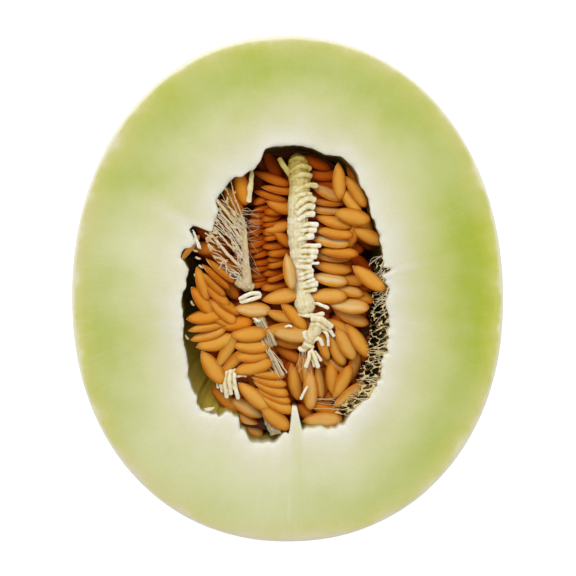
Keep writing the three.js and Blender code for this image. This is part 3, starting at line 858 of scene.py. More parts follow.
class MELON_OT_flesh(Operator):
    """Makes the flesh and rind as one shell in place of the plain solid"""
    bl_idname = "melon.flesh"
    bl_label = "Flesh and Rind"

    SIDES = 720
    RIND_RINGS, FACE_RINGS, WALL_RINGS = 34, 46, 30
    # The share of a ring's step that is left for the flat that the half rests on, and how
    # the rings close up towards it and towards the cavity's rim (1 is evenly spaced).
    FLAT_SHARE = 0.35
    RIND_SPACING, WALL_SPACING = 0.9, 1.25
    # The small tears' seed, and how many of the coarsest and the finest go round the rim.
    TEAR_SEED = 4
    TEARS_AROUND = (9, 140)
    # How far the cut face rolls down at the rim and at the rind, and over what run, how
    # unevenly it does at the rim, and the size of the wall's lumps, in mm.
    RIM_DROP, RIM_RUN = 0.75, 0.9
    RIND_DROP, RIND_RUN = 0.35, 0.35
    RIM_UNEVENNESS = 0.3
    WALL_RELIEF = 0.35
    # Colours across the cut, from the rind (0) to the cavity (1), where the band under
    # the rind is palest and where it is greenest, and then down the cavity's wall, whose olive
    # that deepens downwards is partly the wall's own green and partly painted shade.
    PALE = ((0.0, "DCD4B4"), (0.05, "D7D0A0"), (0.1, "D3D197"), (0.25, "D3D59E"),
            (0.45, "D7D9A8"), (0.6, "DDDDB2"), (0.75, "DFDDBA"), (0.9, "E6E3CA"),
            (1.0, "EAE8D8"))
    LIME = ((0.0, "E0E0B0"), (0.04, "CBCD68"), (0.1, "BDC24A"), (0.2, "AFBC3D"),
            (0.32, "AFBC49"), (0.45, "BCC466"), (0.6, "C8CB82"), (0.75, "D2D29E"),
            (0.9, "DFDCC4"), (1.0, "E7E5D6"))
    WALL_TONE_AND_SHADE = ((0.0, "DAD4A4"), (0.05, "BBA84C"), (0.2, "BEA636"), (1.0, "C0A42A"))

    def execute(self, context):
        ride_root(self.make_shell(context.scene.melon_flesh), "flesh", "melon_flesh")
        return {"FINISHED"}

    def make_shell(self, settings):
        """Up the rind, in over the cut face and down the cavity's wall."""
        turn = np.linspace(0, 2 * math.pi, self.SIDES, endpoint=False)
        outline = self.skin(turn, 0.0)
        angle = angle_of(outline[:, 0], outline[:, 1])
        spoke = spokes(angle)
        reach = np.hypot(outline[:, 0], outline[:, 1])
        tears = sum_of_plateaus(RIM_TEARS, angle) + self.small_tears(angle, settings)
        rings, across = [], []
        for i in range(self.RIND_RINGS):
            slope = math.pi / 2 * (
                1 - (i + 1) / (self.RIND_RINGS + self.FLAT_SHARE)) ** self.RIND_SPACING
            rings.append(self.skin(turn, slope))
            across.append(-slope)
        for i in range(self.FACE_RINGS):
            share = i / (self.FACE_RINGS - 1)
            share = 0.5 * share + 0.5 * (1 - (1 - share) ** 2)
            rings.append(self.face_ring(spoke, reach, plain_rim(angle) + tears, share, settings))
            across.append(share)
        for i in range(1, self.WALL_RINGS):
            slope = math.pi / 2 * (i / (self.WALL_RINGS - 0.4)) ** self.WALL_SPACING
            rings.append(self.wall_ring(spoke, angle, tears, slope))
            across.append(1 + slope / (math.pi / 2))
        looks = {"across": np.append(np.repeat(across, self.SIDES), (-math.pi / 2, 2.0))}
        for name, base, patches in (("lime", LIME_BASE, LIME_PATCHES),
                                    ("light", WALL_PAINTED_LIGHT_BASE, WALL_PAINTED_LIGHT_PATCHES),
                                    ("veins", VEIN_BASE, VEIN_PATCHES)):
            around = base + sum_of_plateaus(patches, angle)
            looks[name] = np.append(np.tile(around, len(rings)), (0.0, 0.0))
        poles = ((0, WIDEST_Y, -CUT_HEIGHT), (0, 0, -CAVITY_DEPTH))
        materials = [self.flesh_material(settings), self.rind_material(settings)]
        flesh = closed_shell("melon_flesh_cut", rings, poles, materials, looks)
        skin = np.zeros(len(flesh.data.polygons), np.int32)
        skin[:self.RIND_RINGS * self.SIDES] = 1
        skin[(len(rings) - 1) * self.SIDES:len(rings) * self.SIDES] = 1
        flesh.data.polygons.foreach_set("material_index", skin)
        return flesh

    def skin(self, turn, slope):
        """A ring of the rind: turn about +Z, and slope below the cut face, in radians."""
        direction = np.stack([np.cos(turn) * math.cos(slope), np.sin(turn) * math.cos(slope),
                              np.full(len(turn), -math.sin(slope))], axis=-1)
        around = np.hypot(direction[:, 0], direction[:, 2]) / HALF_WIDTH
        reach = np.where(direction[:, 1] > 0, STEM_REACH, BLOSSOM_REACH)
        along = np.abs(direction[:, 1]) / reach
        point = direction * ((around ** FULLNESS + along ** FULLNESS) ** (-1 / FULLNESS))[:, None]
        point[:, 0] -= LEAN * point[:, 1] / reach
        point[:, 1] += WIDEST_Y
        point[:, 2] = np.maximum(point[:, 2], -CUT_HEIGHT)
        return point

    def small_tears(self, angle, settings):
        """Small tears all along the rim, the finer the smaller."""
        generator = np.random.default_rng(self.TEAR_SEED)
        coarsest, finest = self.TEARS_AROUND
        total = np.zeros(len(angle))
        for harmonic in range(coarsest, finest):
            size = settings.raggedness / MM * coarsest / harmonic
            phase = generator.uniform(0, 360)
            total += size * generator.normal() * np.cos(np.radians(harmonic * angle + phase))
        return total * (RAGGED_BASE + sum_of_plateaus(RAGGED_PATCHES, angle))

    def face_ring(self, spoke, reach, rim, share, settings):
        """A ring of the cut face, which rolls down a little at the rind and at the rim."""
        radius = reach + (rim - reach) * share
        plan = spoke * radius[:, None]
        height = settings.swell / MM * waves(plan, *FACE_SWELL)
        drop = self.RIM_DROP + self.RIM_UNEVENNESS * waves(plan, *RIM_ROLL)
        height -= drop * np.exp(-(radius - rim) / self.RIM_RUN)
        height -= self.RIND_DROP * np.exp(-(reach - radius) / self.RIND_RUN)
        return np.column_stack([plan, np.minimum(height, 0)])

    def wall_ring(self, spoke, angle, tears, slope):
        """A ring of the cavity's wall at a slope below the cut face, in radians."""
        edge = plain_rim(angle) + tears * math.cos(slope) ** TEAR_FADE_POWER
        size = 1 / np.hypot(math.cos(slope) / edge, math.sin(slope) / CAVITY_DEPTH)
        # The lumps set in below the rim, and each ring has its own.
        lumps = waves(spoke * 30 + slope * 12, *WALL_LUMPS)
        size = size + self.WALL_RELIEF * lumps * min(1, slope * 3)
        start = -self.RIM_DROP * math.exp(-slope * 6)
        height = np.minimum(start - size * math.sin(slope), start)
        return np.column_stack([spoke * (size * math.cos(slope))[:, None], height])

    def flesh_material(self, settings):
        """Ripe honeydew flesh cut with a smooth blade: a moist, slightly cloudy surface that
        lets light in, pale by the cavity and lime green under a thin cream rind."""
        look = Look("cut_melon_flesh")
        across = look.attribute("across")
        # Clouds of riper flesh, about 9 mm, push the bands in and out.
        clouds = look.noise(110.0, 6.0)
        band = look.shifted(across, clouds, 0.24)
        amount = look.shifted(look.attribute("lime"), look.noise(45.0, 6.0), 1.25, clamp=True)
        body = look.blend(amount, look.ramp(band, *self.PALE), look.ramp(band, *self.LIME))
        # Faint fibres run from the rind to the cavity.
        spoke = look.vector("NORMALIZE", look.vector("MULTIPLY", look.place(), (1, 1, 0)))
        lift = add(look.tree, "ShaderNodeCombineXYZ", {"Z": across}).outputs[0]
        spoke = look.vector("MULTIPLY_ADD", spoke, (26, 26, 26), lift)
        veil = look.spread(look.noise(2.4, 4.0, spoke, 0.6), 0.52, 0.8)
        veil = look.number("MULTIPLY", veil, look.attribute("veins"))
        body = look.blend(veil, body, settings.fibre)
        # The thin cream line of the rind's own thickness.
        body = look.blend(look.spread(across, 0.004, 0.03, 1.0, 0.0), body, settings.rind_edge)
        # The cavity's wall: olive that deepens downwards, partly its own green and partly painted
        # shade, times patches of painted light and shade round the rim.
        depth = look.number("ADD", across, -1.0)
        wall_painted_shade = look.ramp(look.attribute("light"), (0.0, "1C1804"), (0.5, "8A8A60"),
                          (1.0, "FFFFFF"))
        wall = look.blend(look.spread(depth, 0.0, 0.12), look.ramp(depth, *self.WALL_TONE_AND_SHADE), wall_painted_shade,
                          "MULTIPLY")
        body = look.blend(look.spread(across, 1.0, 1.06), body, wall)
        # Cells about 1 mm across give the cut its soft grain.
        return look.finish({"Base Color": body, "Roughness": look.spread(clouds, 0, 1, 0.38, 0.62),
                            "IOR": 1.36},
                           (look.noise(900.0, 3.0), 0.22, 0.0005),
                           (0.35, (1.0, 0.9, 0.45), 0.0016))

    def rind_material(self, settings):
        """Honeydew rind: a smooth, waxy skin, cream with a breath of green, faintly mottled."""
        look = Look("waxy_melon_rind")
        body = look.ramp(look.noise(55.0, 5.0), (0.3, "C6C796"), (0.5, settings.rind),
                         (0.7, "DAD8B4"))
        # Corky pores, about 3 mm apart.
        pores = add(look.tree, "ShaderNodeTexVoronoi", {"Vector": look.place(), "Scale": 330.0})
        spots = look.spread(pores.outputs["Distance"], 0.05, 0.16, 0.35, 0.0)
        body = look.blend(spots, body, linear("B9B284"))
        return look.finish({"Base Color": body, "Roughness": 0.42, "IOR": 1.42,
                            "Coat Weight": 0.15, "Coat Roughness": 0.35},
                           (look.noise(160.0, 4.0), 0.18, 0.0012),
                           (0.15, (1.0, 0.9, 0.5), 0.001))


# ---- Seeds ----


class SeedSettings(PropertyGroup):
    width: length("Width", 5.3, "Width of a seed of the usual length")
    thickness: length("Thickness", 2.0, "Thickness of a seed")
    deep: colour("Deep Face", "D88414", "Middle of a wet seed's face")
    deep_margin: colour("Deep Margin", "A84C00", "Towards a wet seed's edge")
    middle: colour("Usual Face", "DEA040", "Middle of most seeds' faces")
    pale: colour("Pale Face", "E3C890", "Middle of a dry seed's face")
    pale_margin: colour("Pale Margin", "CA7E10", "Towards a dry seed's edge")
    rib: colour("Rib", "D8A24A", "Ribs along a dry seed's face")
    rim: colour("Rim", "F8E0A8", "Thin pale line on a seed's edge")
    # The pulp's colour is painted dark, as shade deep in the heap.
    pulp: colour("Pulp", "5A2806", "Wet pulp that the seeds lie in")
    filler_gap: length("Filler Gap", 4.6, "Least distance between seeds under the top layer")
    seed: whole_number("Seed", 7, "Choice of the random turns")


# The usual seed's length in mm.
USUAL_SEED = 12.4
# The seeds that only fill the heap: how many places are tried and how far from the middle,
# how clear of the rim they stay, where the deep stack leaves no room for them (from and to
# along X, then Y), and from and to what their heading, roll, lean and length go.
FILLER_TRIES = 4000
FILLER_REACH = (34, 48)
FILLER_CLEARANCE = 4.5
STACK_ZONE = (-13.5, 0.5, -3, 28)
FILLER_SPANS = ((0, 360), (-20, 20), (-10, 10), (11, 12.5))
FILLER_FREEDOM = 30
# The seeds under the top layer and in the deep stack take the deep orange end of the tints, partly
# as painted shade for their depth.
FILLER_TINTS, STACK_TINTS = (0.0, 0.5), (0.0, 0.3)
# How far a seed of the top layer may lean lengthways, in degrees, and the shares of the
# usual width and thickness that seeds go from and to.
TOP_LEAN = 4
WIDTH_SHARES, THICKNESS_SHARES = (0.92, 1.08), (0.9, 1.1)
# Rings and sides of the outline that finds where a seed rests.
OUTLINE_FINENESS = (28, 40)


def seed_stations(rings):
    """Where a seed's rings lie along it, from its point at -1 to its blunt end at 1."""
    return -np.cos(np.pi * np.arange(1, rings + 1) / (rings + 1))


def seed_shape(rings, sides, bend=0.0, plump=1.0):
    """Points of a seed 1 long, 1 wide and 1 thick, its point at -X: rings, then two poles.
    Also how near each is to the seed's margin, from 0 to 1."""
    station = seed_stations(rings)
    # Its widest part lies nearer its blunt end, where it is also rounder.
    shifted = station - 0.1 * (1 - station ** 2)
    blunt = np.clip(shifted, -1, 1)
    wide = (1 - np.abs(shifted) ** 2.1) ** (0.66 - 0.1 * blunt)
    thick = (1 - np.abs(shifted) ** 2.6) ** (0.6 - 0.14 * blunt)
    # Its faces are flatter than an ellipse's, and its margin is sharper.
    turn = 2 * np.pi * np.arange(sides) / sides
    around_z = np.sin(turn) * np.abs(np.sin(turn)) ** (0.5 * plump)
    x = np.repeat(station / 2, sides)
    y = np.outer(wide, np.cos(turn)).ravel() / 2 + bend * np.repeat(station ** 2 - 0.4, sides)
    z = np.outer(thick, around_z).ravel() / 2
    margin = np.maximum(np.tile(np.cos(turn) ** 2, rings), np.repeat(station ** 4, sides))
    poles = [[-0.5, bend * 0.6, 0], [0.5, bend * 0.6, 0]]
    return np.vstack([np.column_stack([x, y, z]), poles]), np.append(margin, [1, 1])


def seed_marks(rings, sides, generator):
    """How near each of a seed's points is to its pointed end, and its rib's shade."""
    tip = np.repeat(smooth((-seed_stations(rings) - 0.45) / 0.5), sides)
    rib = np.tile(generator.uniform(0, 1, sides), rings)
    return {"tip": np.append(tip, [1, 0]), "rib": np.append(rib, [0.5, 0.5])}


def turn_matrix(yaw, roll, pitch):
    """Rotation: roll about the seed's length, then its blunt end up, then its heading."""
    yaw, roll, pitch = (math.radians(angle) for angle in (yaw, roll, pitch))
    return (Matrix.Rotation(yaw, 3, "Z") @ Matrix.Rotation(-pitch, 3, "Y")
            @ Matrix.Rotation(roll, 3, "X"))


class HeapSurface:
    """The heap's height on a grid, which rises as each seed is dropped on it."""
    CELL = 0.4
    REACH = (42.0, 58.0)
    # Shares of its freedom that a seed tries to tilt by, sideways and lengthways.
    TILTS = (0, -1, -0.5, 0.5, 1)
    LIFTS = (0, -0.6, -0.3, 0.3, 0.6)

    def __init__(self, height):
        self.shape = [int(2 * reach / self.CELL) for reach in self.REACH]
        x, y = (np.linspace(-reach, reach, count) for reach, count in zip(self.REACH, self.shape))
        self.height = height(*np.meshgrid(x, y, indexing="ij"))

    def cells(self, points):
        """Grid cells under the points."""
        return tuple(np.clip(((points[:, i] + self.REACH[i]) / self.CELL).astype(int), 0,
                             self.shape[i] - 1) for i in (0, 1))

    def lay(self, outline, place, turns, freedom, sink, highest, top):
        """Drops a body until it rests, sunk in by a little and no higher than it may be. It
        finds the easiest tilt within its freedom, or else has its top put at a height.
        Returns its turn and how high its middle is."""
        best = (math.inf,)
        yaw, roll, pitch = turns
        tries = itertools.product(self.TILTS, self.LIFTS) if freedom else ((0, 0),)
        for tilt, lift in tries:
            matrix = turn_matrix(yaw, roll + tilt * freedom, pitch + lift * freedom)
            points = outline @ np.array(matrix).T + (*place, 0)
            where = self.cells(points)
            rest = np.max(self.height[where] - points[:, 2]) - sink
            effort = rest + TILT_EFFORT * freedom * (abs(tilt) + abs(lift))
            if effort < best[0]:
                best = (effort, rest, matrix, points, where)
        _, rest, matrix, points, where = best
        rest = min(rest, highest - points[:, 2].max())
        if top is not None:
            rest = top - points[:, 2].max()
        np.maximum.at(self.height, where, points[:, 2] + rest)
        return matrix, rest


def core_height(x, y):
    """Height of the pulp that the lowest seeds lie on."""
    return heap_top(x, y) - CORE_DEPTH


def filler_places(settings, generator):
    """Places for the seeds under the top layer, spread evenly inside the cavity."""
    gap = settings.filler_gap / MM
    across, along = FILLER_REACH
    left, right, low, high = STACK_ZONE
    places = []
    for _ in range(FILLER_TRIES):
        x, y = generator.uniform(-across, across), generator.uniform(-along, along)
        angle = angle_of(x, y)
        clear = FILLER_CLEARANCE + sum_of_plateaus(HEAP_GAPS, angle)
        inside = math.hypot(x, y) < plain_rim(angle) - clear
        in_stack = left < x < right and low < y < high
        if inside and not in_stack and all(math.hypot(x - a, y - b) > gap for a, b in places):
            places.append((x, y))
    return places


def stack_places(generator):
    """Seeds of the deep stack: place, turn, roll, lean, length and height of the top."""
    def stray(reach):
        return generator.uniform(-reach, reach)

    across, along, up = STACK_STRAY
    places = []
    for left, first, step, count, height in STACK_COLUMNS:
        for row in range(count):
            yaw, roll, pitch = (angle + stray(1) * spread
                                for angle, spread in zip(STACK_TURN, TURN_STRAY))
            size = STACK_LENGTH * generator.uniform(*STACK_SIZES)
            run = size / 2 * math.cos(math.radians(pitch))
            x = left + stray(across) - run * math.cos(math.radians(yaw))
            y = first - step * row + stray(along) - run * math.sin(math.radians(yaw))
            places.append((x, y, yaw, roll, pitch, size, height + stray(up)))
    return places


def heap_of_seeds(settings):
    """Each seed's place, turn, size, shape number and tint, dropped one by one from the
    bottom up, and how many of them only fill the heap."""
    generator = np.random.default_rng(settings.seed)
    surface = HeapSurface(core_height)
    outline, _ = seed_shape(*OUTLINE_FINENESS)
    width, thickness = settings.width / MM, settings.thickness / MM
    rows = [(x, y, *(generator.uniform(*span) for span in FILLER_SPANS), FILLER_FREEDOM,
             2 * SEED_SINK, 0, None, FILLER_TINTS) for x, y in filler_places(settings, generator)]
    fillers = len(rows)
    rows += [(*place[:6], 0, 0, 0, place[6], STACK_TINTS) for place in stack_places(generator)]
    for group, freedom, highest, tints in SEED_GROUPS:
        for x, y, yaw, roll, size, *own in group:
            rows.append((x, y, yaw, roll, generator.uniform(-TOP_LEAN, TOP_LEAN), size, freedom,
                         SEED_SINK, highest, None if freedom else highest, own * 2 or tints))
    seeds = {key: [] for key in ("place", "turn", "size", "kind", "tint")}
    for x, y, yaw, roll, pitch, size, freedom, sink, highest, top, tints in rows:
        shape = (size,
                 width * (0.4 + 0.6 * size / USUAL_SEED) * generator.uniform(*WIDTH_SHARES),
                 thickness * generator.uniform(*THICKNESS_SHARES))
        matrix, height = surface.lay(outline * shape, (x, y), (yaw, roll, pitch), freedom, sink,
                                     highest, top)
        values = ((x, y, height), matrix.to_euler()[:], np.array(shape) * MM,
                  int(generator.integers(0, len(MELON_OT_seeds.SHAPES))), generator.uniform(*tints))
        for key, value in zip(seeds, values):
            seeds[key].append(value)
    return seeds, fillers


class MELON_OT_seeds(Operator):
    """Makes the pulp core and drops the seeds on it, in place of the plain heap"""
    bl_idname = "melon.seeds"
    bl_label = "Seeds"

    # Each shape's bend and how flat its faces are.
    SHAPES = ((0.0, 1.0), (0.025, 0.6), (-0.02, 1.4), (0.012, 1.0))
    # Rings and sides of the seeds that only fill the heap and of the ones on top.
    FINENESS = ((7, 10), (13, 22))
    SHAPE_SEED = 2
    # The pulp's rings on top and underneath, how far its underside stays off the cavity's
    # floor, and how thick it is at least, in mm.
    CORE_RINGS, CORE_SIDES = 70, 220
    FLOOR_RINGS = 9
    FLOOR_GAP, LEAST_PULP = 1.5, 3
    # How far its top stays below the lowest seeds, the size of its lumps, and how far it
    # reaches into the wall, in mm.
    TOP_GAP, PULP_RELIEF, WALL_SINK = 0.5, 0.7, 0.4

    def execute(self, context):
        settings = context.scene.melon_seeds
        ride_root(self.make_core(settings), "seeds", "seed_heap")
        seeds, fillers = heap_of_seeds(settings)
        material = self.seed_material(settings)
        tree, keys = self.seed_tree()
        parts = (("filler_seeds", slice(0, fillers)), ("melon_seeds", slice(fillers, None)))
        for (name, part), fineness in zip(parts, self.FINENESS):
            shapes = self.make_shapes(*fineness)
            points = mesh_object(name + "_places", seeds["place"][part], [], (), {
                key: np.array(seeds[key][part]) for key in ("turn", "size", "kind", "tint")})
            values = {"Shape %d" % i: shape for i, shape in enumerate(shapes)}
            piece = grown(name, points, tree, keys, {**values, "Material": material})
            ride_at_cut(piece, "seeds")
            for shape in shapes:
                bpy.data.objects.remove(shape)
        return {"FINISHED"}

    def make_shapes(self, rings, sides):
        """Four slightly different seeds of unit size."""
        generator = np.random.default_rng(self.SHAPE_SEED)
        shapes = []
        for i, (bend, plump) in enumerate(self.SHAPES):
            points, margin = seed_shape(rings, sides, bend, plump)
            faces = [face[::-1] for face in shell_faces(rings, sides)]
            marks = {"margin": margin, **seed_marks(rings, sides, generator)}
            shapes.append(mesh_object("seed_shape_%d" % i, points / MM, faces, (), marks))
        return shapes

    def seed_tree(self):
        """Puts a seed on each point, turned and sized by the point's own values."""
        labels = ["Shape %d" % i for i in range(len(self.SHAPES))]
        tree, entry, keys = geometry_tree(
            "seeds_on_points", [(label, "Object") for label in labels] + [("Material", "Material")])
        joined = add(tree, "GeometryNodeJoinGeometry")
        for label in labels:
            shape = add(tree, "GeometryNodeObjectInfo",
                        {"Object": entry[label], "As Instance": True})
            tree.links.new(shape.outputs["Geometry"], joined.inputs[0])
        turn = add(tree, "FunctionNodeEulerToRotation",
                   {"Euler": stored(tree, "turn", "FLOAT_VECTOR")})
        placed = add(tree, "GeometryNodeInstanceOnPoints", {
            "Points": entry["Geometry"], "Instance": joined.outputs[0], "Pick Instance": True,
            "Instance Index": stored(tree, "kind", "INT"), "Rotation": turn.outputs[0],
            "Scale": stored(tree, "size", "FLOAT_VECTOR")})
        end_tree(tree, placed.outputs[0], entry["Material"])
        return tree, keys

    def make_core(self, settings):
        """Pulp under the seeds: a closed body that reaches just into the cavity's wall."""
        angle = np.arange(self.CORE_SIDES) * 360 / self.CORE_SIDES
        spoke = spokes(angle)
        rim = plain_rim(angle)
        # It keeps just off the rim, and off what of the flesh reaches in.
        reach = rim + np.minimum(sum_of_plateaus(RIM_TEARS, angle), 0) * 0.5 - 0.5
        reach = reach - sum_of_plateaus(HEAP_GAPS, angle)

        def wall_depth(plan):
            share = np.hypot(plan[:, 0], plan[:, 1]) / rim
            return -CAVITY_DEPTH * np.sqrt(np.clip(1 - share ** 2, 0, 1))

        rings = []
        for i in range(1, self.FLOOR_RINGS):
            plan = spoke * (reach * i / self.FLOOR_RINGS)[:, None]
            depth = np.minimum(wall_depth(plan) + self.FLOOR_GAP,
                               core_height(*plan.T) - self.LEAST_PULP)
            rings.append(np.column_stack([plan, depth]))
        for i in range(self.CORE_RINGS, 0, -1):
            plan = spoke * (reach * i / self.CORE_RINGS)[:, None]
            height = core_height(*plan.T) - self.TOP_GAP
            height += self.PULP_RELIEF * waves(plan, *PULP_LUMPS)
            height = np.maximum(height, wall_depth(plan) - self.WALL_SINK)
            rings.append(np.column_stack([plan, height]))
        middle = core_height(np.array(0), np.array(0)) - self.TOP_GAP
        poles = ((0, 0, -CAVITY_DEPTH + self.FLOOR_GAP), (0, 0, middle))
        return closed_shell("seed_pulp", rings, poles, [self.pulp_material(settings)])

    def seed_material(self, settings):
        """Fresh melon seed coat: thin, smooth and moist, warm tan with a deeper edge that is partly
        painted shade, lit a little from inside and with a soft wet gloss."""
        look = Look("moist_seed_coat")
        margin, tint = look.attribute("margin"), look.attribute("tint")
        edge = look.number("MULTIPLY_ADD", look.noise(260.0, 3.0), 0.5, margin)
        face = look.ramp(tint, (0.0, settings.deep), (0.65, settings.middle),
                         (1.0, settings.pale))
        # Towards its margin a seed turns deeper orange: partly the coat's own thinner edge, partly
        # painted shade.
        side = look.ramp(tint, (0.0, settings.deep_margin), (1.0, settings.pale_margin))
        # Dry faces show the coat's lengthwise ribs.
        rib = look.number("MULTIPLY", look.attribute("rib"), tint)
        body = look.blend(look.spread(edge, 0.35, 1.05), look.blend(rib, face, settings.rib),
                          side)
        # A thin pale line along the margin, clearest at the end that the stalk held: the coat's pale
        # edge, brightened as a painted highlight.
        share = look.number("MULTIPLY_ADD", look.attribute("tip"), 0.95, 0.03)
        line = look.number("MULTIPLY", look.spread(margin, 0.86, 0.94), share)
        body = look.blend(line, body, settings.rim)
        # Deeper in the heap the seeds get painted shade, darker and redder below the cut face,
        # partly also for the juice that wets them through.
        depth = look.spread(look.place("Z"), *depths_below_cut(14, 5))
        body = look.with_painted_shade(body, depth, (0.0, "642C00"), (0.5, "DC9430"), (1.0, "FFFFFF"))
        # The coat is finely ribbed along the seed, about 0.3 mm.
        return look.finish({"Base Color": body, "Roughness": 0.5, "IOR": 1.33,
                            "Specular IOR Level": 0.12},
                           (look.noise(2400.0, 2.0), 0.12, 0.0002),
                           (0.3, (1.0, 0.4, 0.12), 0.0009))

    def pulp_material(self, settings):
        """Wet pulp between the seeds: a glossy orange-brown jelly, painted dark as the shade deep
        among the seeds.
        """
        look = Look("wet_seed_pulp")
        mottle = look.noise(300.0, 4.0)
        body = look.ramp(mottle, (0.3, "3A1604"), (0.6, settings.pulp))
        return look.finish({"Base Color": body, "Roughness": 0.4, "IOR": 1.36},
                           (mottle, 0.5, 0.001))


# ---- Seed strands and fibres ----


class StrandSettings(PropertyGroup):
    flatness: number("Flatness", 0.72, "Height of a strand over its width", min=0.1, max=1.0)
    lumpiness: length("Lumpiness", 0.14, "How uneven the strands' sides are")
    roughness: length("Roughness", 0.035, "Size of the small lumps on a strand")
    voxel: length("Voxel", 0.2, "Grid that merges a strand with its stalks")
    melting: whole_number("Melting", 2, "How often a strand's surface is smoothed")
    tissue: colour("Tissue", "FBF8EC", "Raised parts of the strands and their stalks")
    flat: colour("Tissue Body", "E4D9B0", "Broad parts of the strands")
    shade: colour("Tissue Shade", "B69A48", "Hollows of the strands")
    soft: colour("Soft Tissue", "E4D2AC", "Raised parts of the thin left strand")
    soft_flat: colour("Soft Tissue Body", "D0B884", "Broad parts of the left strand")


class FibreSettings(PropertyGroup):
    thickness: length("Thickness", 0.1, "Half the thickness of an average fibre")
    colour: colour("Fibre", "EAD9B6", "Fine fibres between the seeds")
    seed: whole_number("Seed", 5, "Choice of the fibres' places")


def swept(name, threads, material, sides, waviness, wave_scale, flatness=1.0, finishing=()):
    """A piece swept along threads, which are (points, half thicknesses) in mm. They waver by
    up to this many mm, with about so many waves in a metre."""
    points, radii, edges = [], [], []
    for path, radius in threads:
        start = len(points)
        points.extend(path)
        radii.extend(radius)
        edges.extend((start + i, start + i + 1) for i in range(len(path) - 1))
    source = mesh_object(name + "_paths", points, [], (),
                         {"thickness": np.array(radii, float) * MM}, edges)
    tree, keys = swept_tree()
    values = {"Sides": sides, "Waviness": waviness * MM, "Wave Scale": wave_scale,
              "Flatness": flatness, "Material": material}
    return grown(name, source, tree, keys, values, finishing)


def rounded(points, first, last, count):
    """A smooth thread that tapers from its first to its last half thickness, with round
    ends."""
    path = smooth_path(points, count)
    along = np.linspace(0, 1, count)
    # Each end rounds off over about one and a half steps, and isn't quite a point.
    ends = np.clip(np.minimum(along, 1 - along) * count / 1.6, 0, 1)
    radius = first + (last - first) * along
    return path, radius * np.sqrt(np.clip(1 - (1 - ends) ** 2, 0.2, 1))


def roughen(piece, size, lumps):
    """Moves each vertex in or out along its normal by small lumps."""
    points, normals = vertex_arrays(piece.data)
    points += normals * (size * waves(points / MM, *lumps) * MM)[:, None]
    piece.data.vertices.foreach_set("co", points.ravel())
    piece.data.update()


def swept_tree():
    """Sweeps a round section of each point's own thickness along every path."""
    tree, entry, keys = geometry_tree("swept_threads", [
        ("Sides", "Int"), ("Waviness", "Float"), ("Wave Scale", "Float"), ("Flatness", "Float"),
        ("Material", "Material")])
    curve = add(tree, "GeometryNodeMeshToCurve", {"Mesh": entry["Geometry"]})
    curve = add(tree, "GeometryNodeSetCurveNormal", {"Curve": curve.outputs[0]}, mode="Z_UP")
    noise = add(tree, "ShaderNodeTexNoise", {"Scale": entry["Wave Scale"], "Detail": 2.0})
    offset = add(tree, "ShaderNodeVectorMath", {0: noise.outputs["Color"], 1: (-0.5, -0.5, -0.5)},
                 operation="ADD")
    offset = add(tree, "ShaderNodeVectorMath",
                 {0: offset.outputs[0], "Scale": entry["Waviness"]}, operation="SCALE")
    curve = add(tree, "GeometryNodeSetPosition",
                {"Geometry": curve.outputs[0], "Offset": offset.outputs[0]})
    circle = add(tree, "GeometryNodeCurvePrimitiveCircle",
                 {"Resolution": entry["Sides"], "Radius": 1.0})
    scale = add(tree, "ShaderNodeCombineXYZ", {"X": 1.0, "Y": entry["Flatness"], "Z": 1.0})
    section = add(tree, "GeometryNodeTransform",
                  {"Geometry": circle.outputs[0], "Scale": scale.outputs[0]})
    tube = add(tree, "GeometryNodeCurveToMesh", {
        "Curve": curve.outputs[0], "Profile Curve": section.outputs[0],
        "Scale": stored(tree, "thickness"), "Fill Caps": True})
    end_tree(tree, tube.outputs[0], entry["Material"])
    return tree, keys


def mark_hollows(piece, turns, depth):
    """Stores how deep in a hollow each vertex lies, from 0 on a bump to 1, by comparing it
    with where it goes when the surface is smoothed this often. Depth: the range, in mm."""
    mesh = piece.data
    count = len(mesh.vertices)
    points, normals = vertex_arrays(mesh)
    pairs = np.empty(2 * len(mesh.edges), np.int32)
    mesh.edges.foreach_get("vertices", pairs)
    one, other = pairs.reshape(-1, 2).T
    neighbours = np.maximum(np.bincount(pairs, minlength=count), 1)[:, None]
    flat = points.copy()
    for _ in range(turns):
        total = np.column_stack([np.bincount(one, flat[other, i], count)
                                 + np.bincount(other, flat[one, i], count) for i in range(3)])
        flat = (flat + total / neighbours) / 2
    sunk = ((flat - points) * normals).sum(axis=1) / (2 * depth * MM)
    layer = mesh.attributes.new("hollow", "FLOAT", "POINT")
    layer.data.foreach_set("value", np.clip(0.5 + sunk, 0, 1).astype(np.float32))


def tissue_material(name, raised, flat=None, shade=None, alpha=1.0):
    """Fresh seed-strand tissue: cream, soft and moist, with painted light and shade: whitest on
    its bumps and yellow to brown in its hollows."""
    look = Look(name)
    mottle = look.noise(420.0, 4.0)
    # Hollows are painted shade, yellow to brown, and bumps painted light, nearly white.
    hollow = look.number("MULTIPLY_ADD", mottle, 0.24, look.attribute("hollow"))
    body = look.ramp(hollow, (0.4, raised), (0.6, flat or raised), (0.76, shade or raised),
                     (0.94, "5E4410"))
    # The deeper parts get painted shade, darker and yellower below the cut face; both ends are
    # yellower, and the stem end's darker olive is painted shade as well.
    depth = look.spread(look.place("Z"), *depths_below_cut(11, 2.5))
    body = look.with_painted_shade(body, depth, (0.0, "6A5420"), (0.5, "D8CA90"), (1.0, "FFFFFF"))
    stem = look.spread(look.place("Y"), -6 * MM, 44 * MM)
    body = look.with_painted_shade(body, stem, (0.0, "FAF5E8"), (0.16, "FFFFFF"), (0.6, "FFFFFF"),
                        (0.8, "F4EECC"), (1.0, "DAD28A"))
    return look.finish({"Base Color": body, "Roughness": 0.45, "IOR": 1.38, "Alpha": alpha},
                       (mottle, 0.3, 0.0004), (0.4, (1.0, 0.85, 0.55), 0.0012))


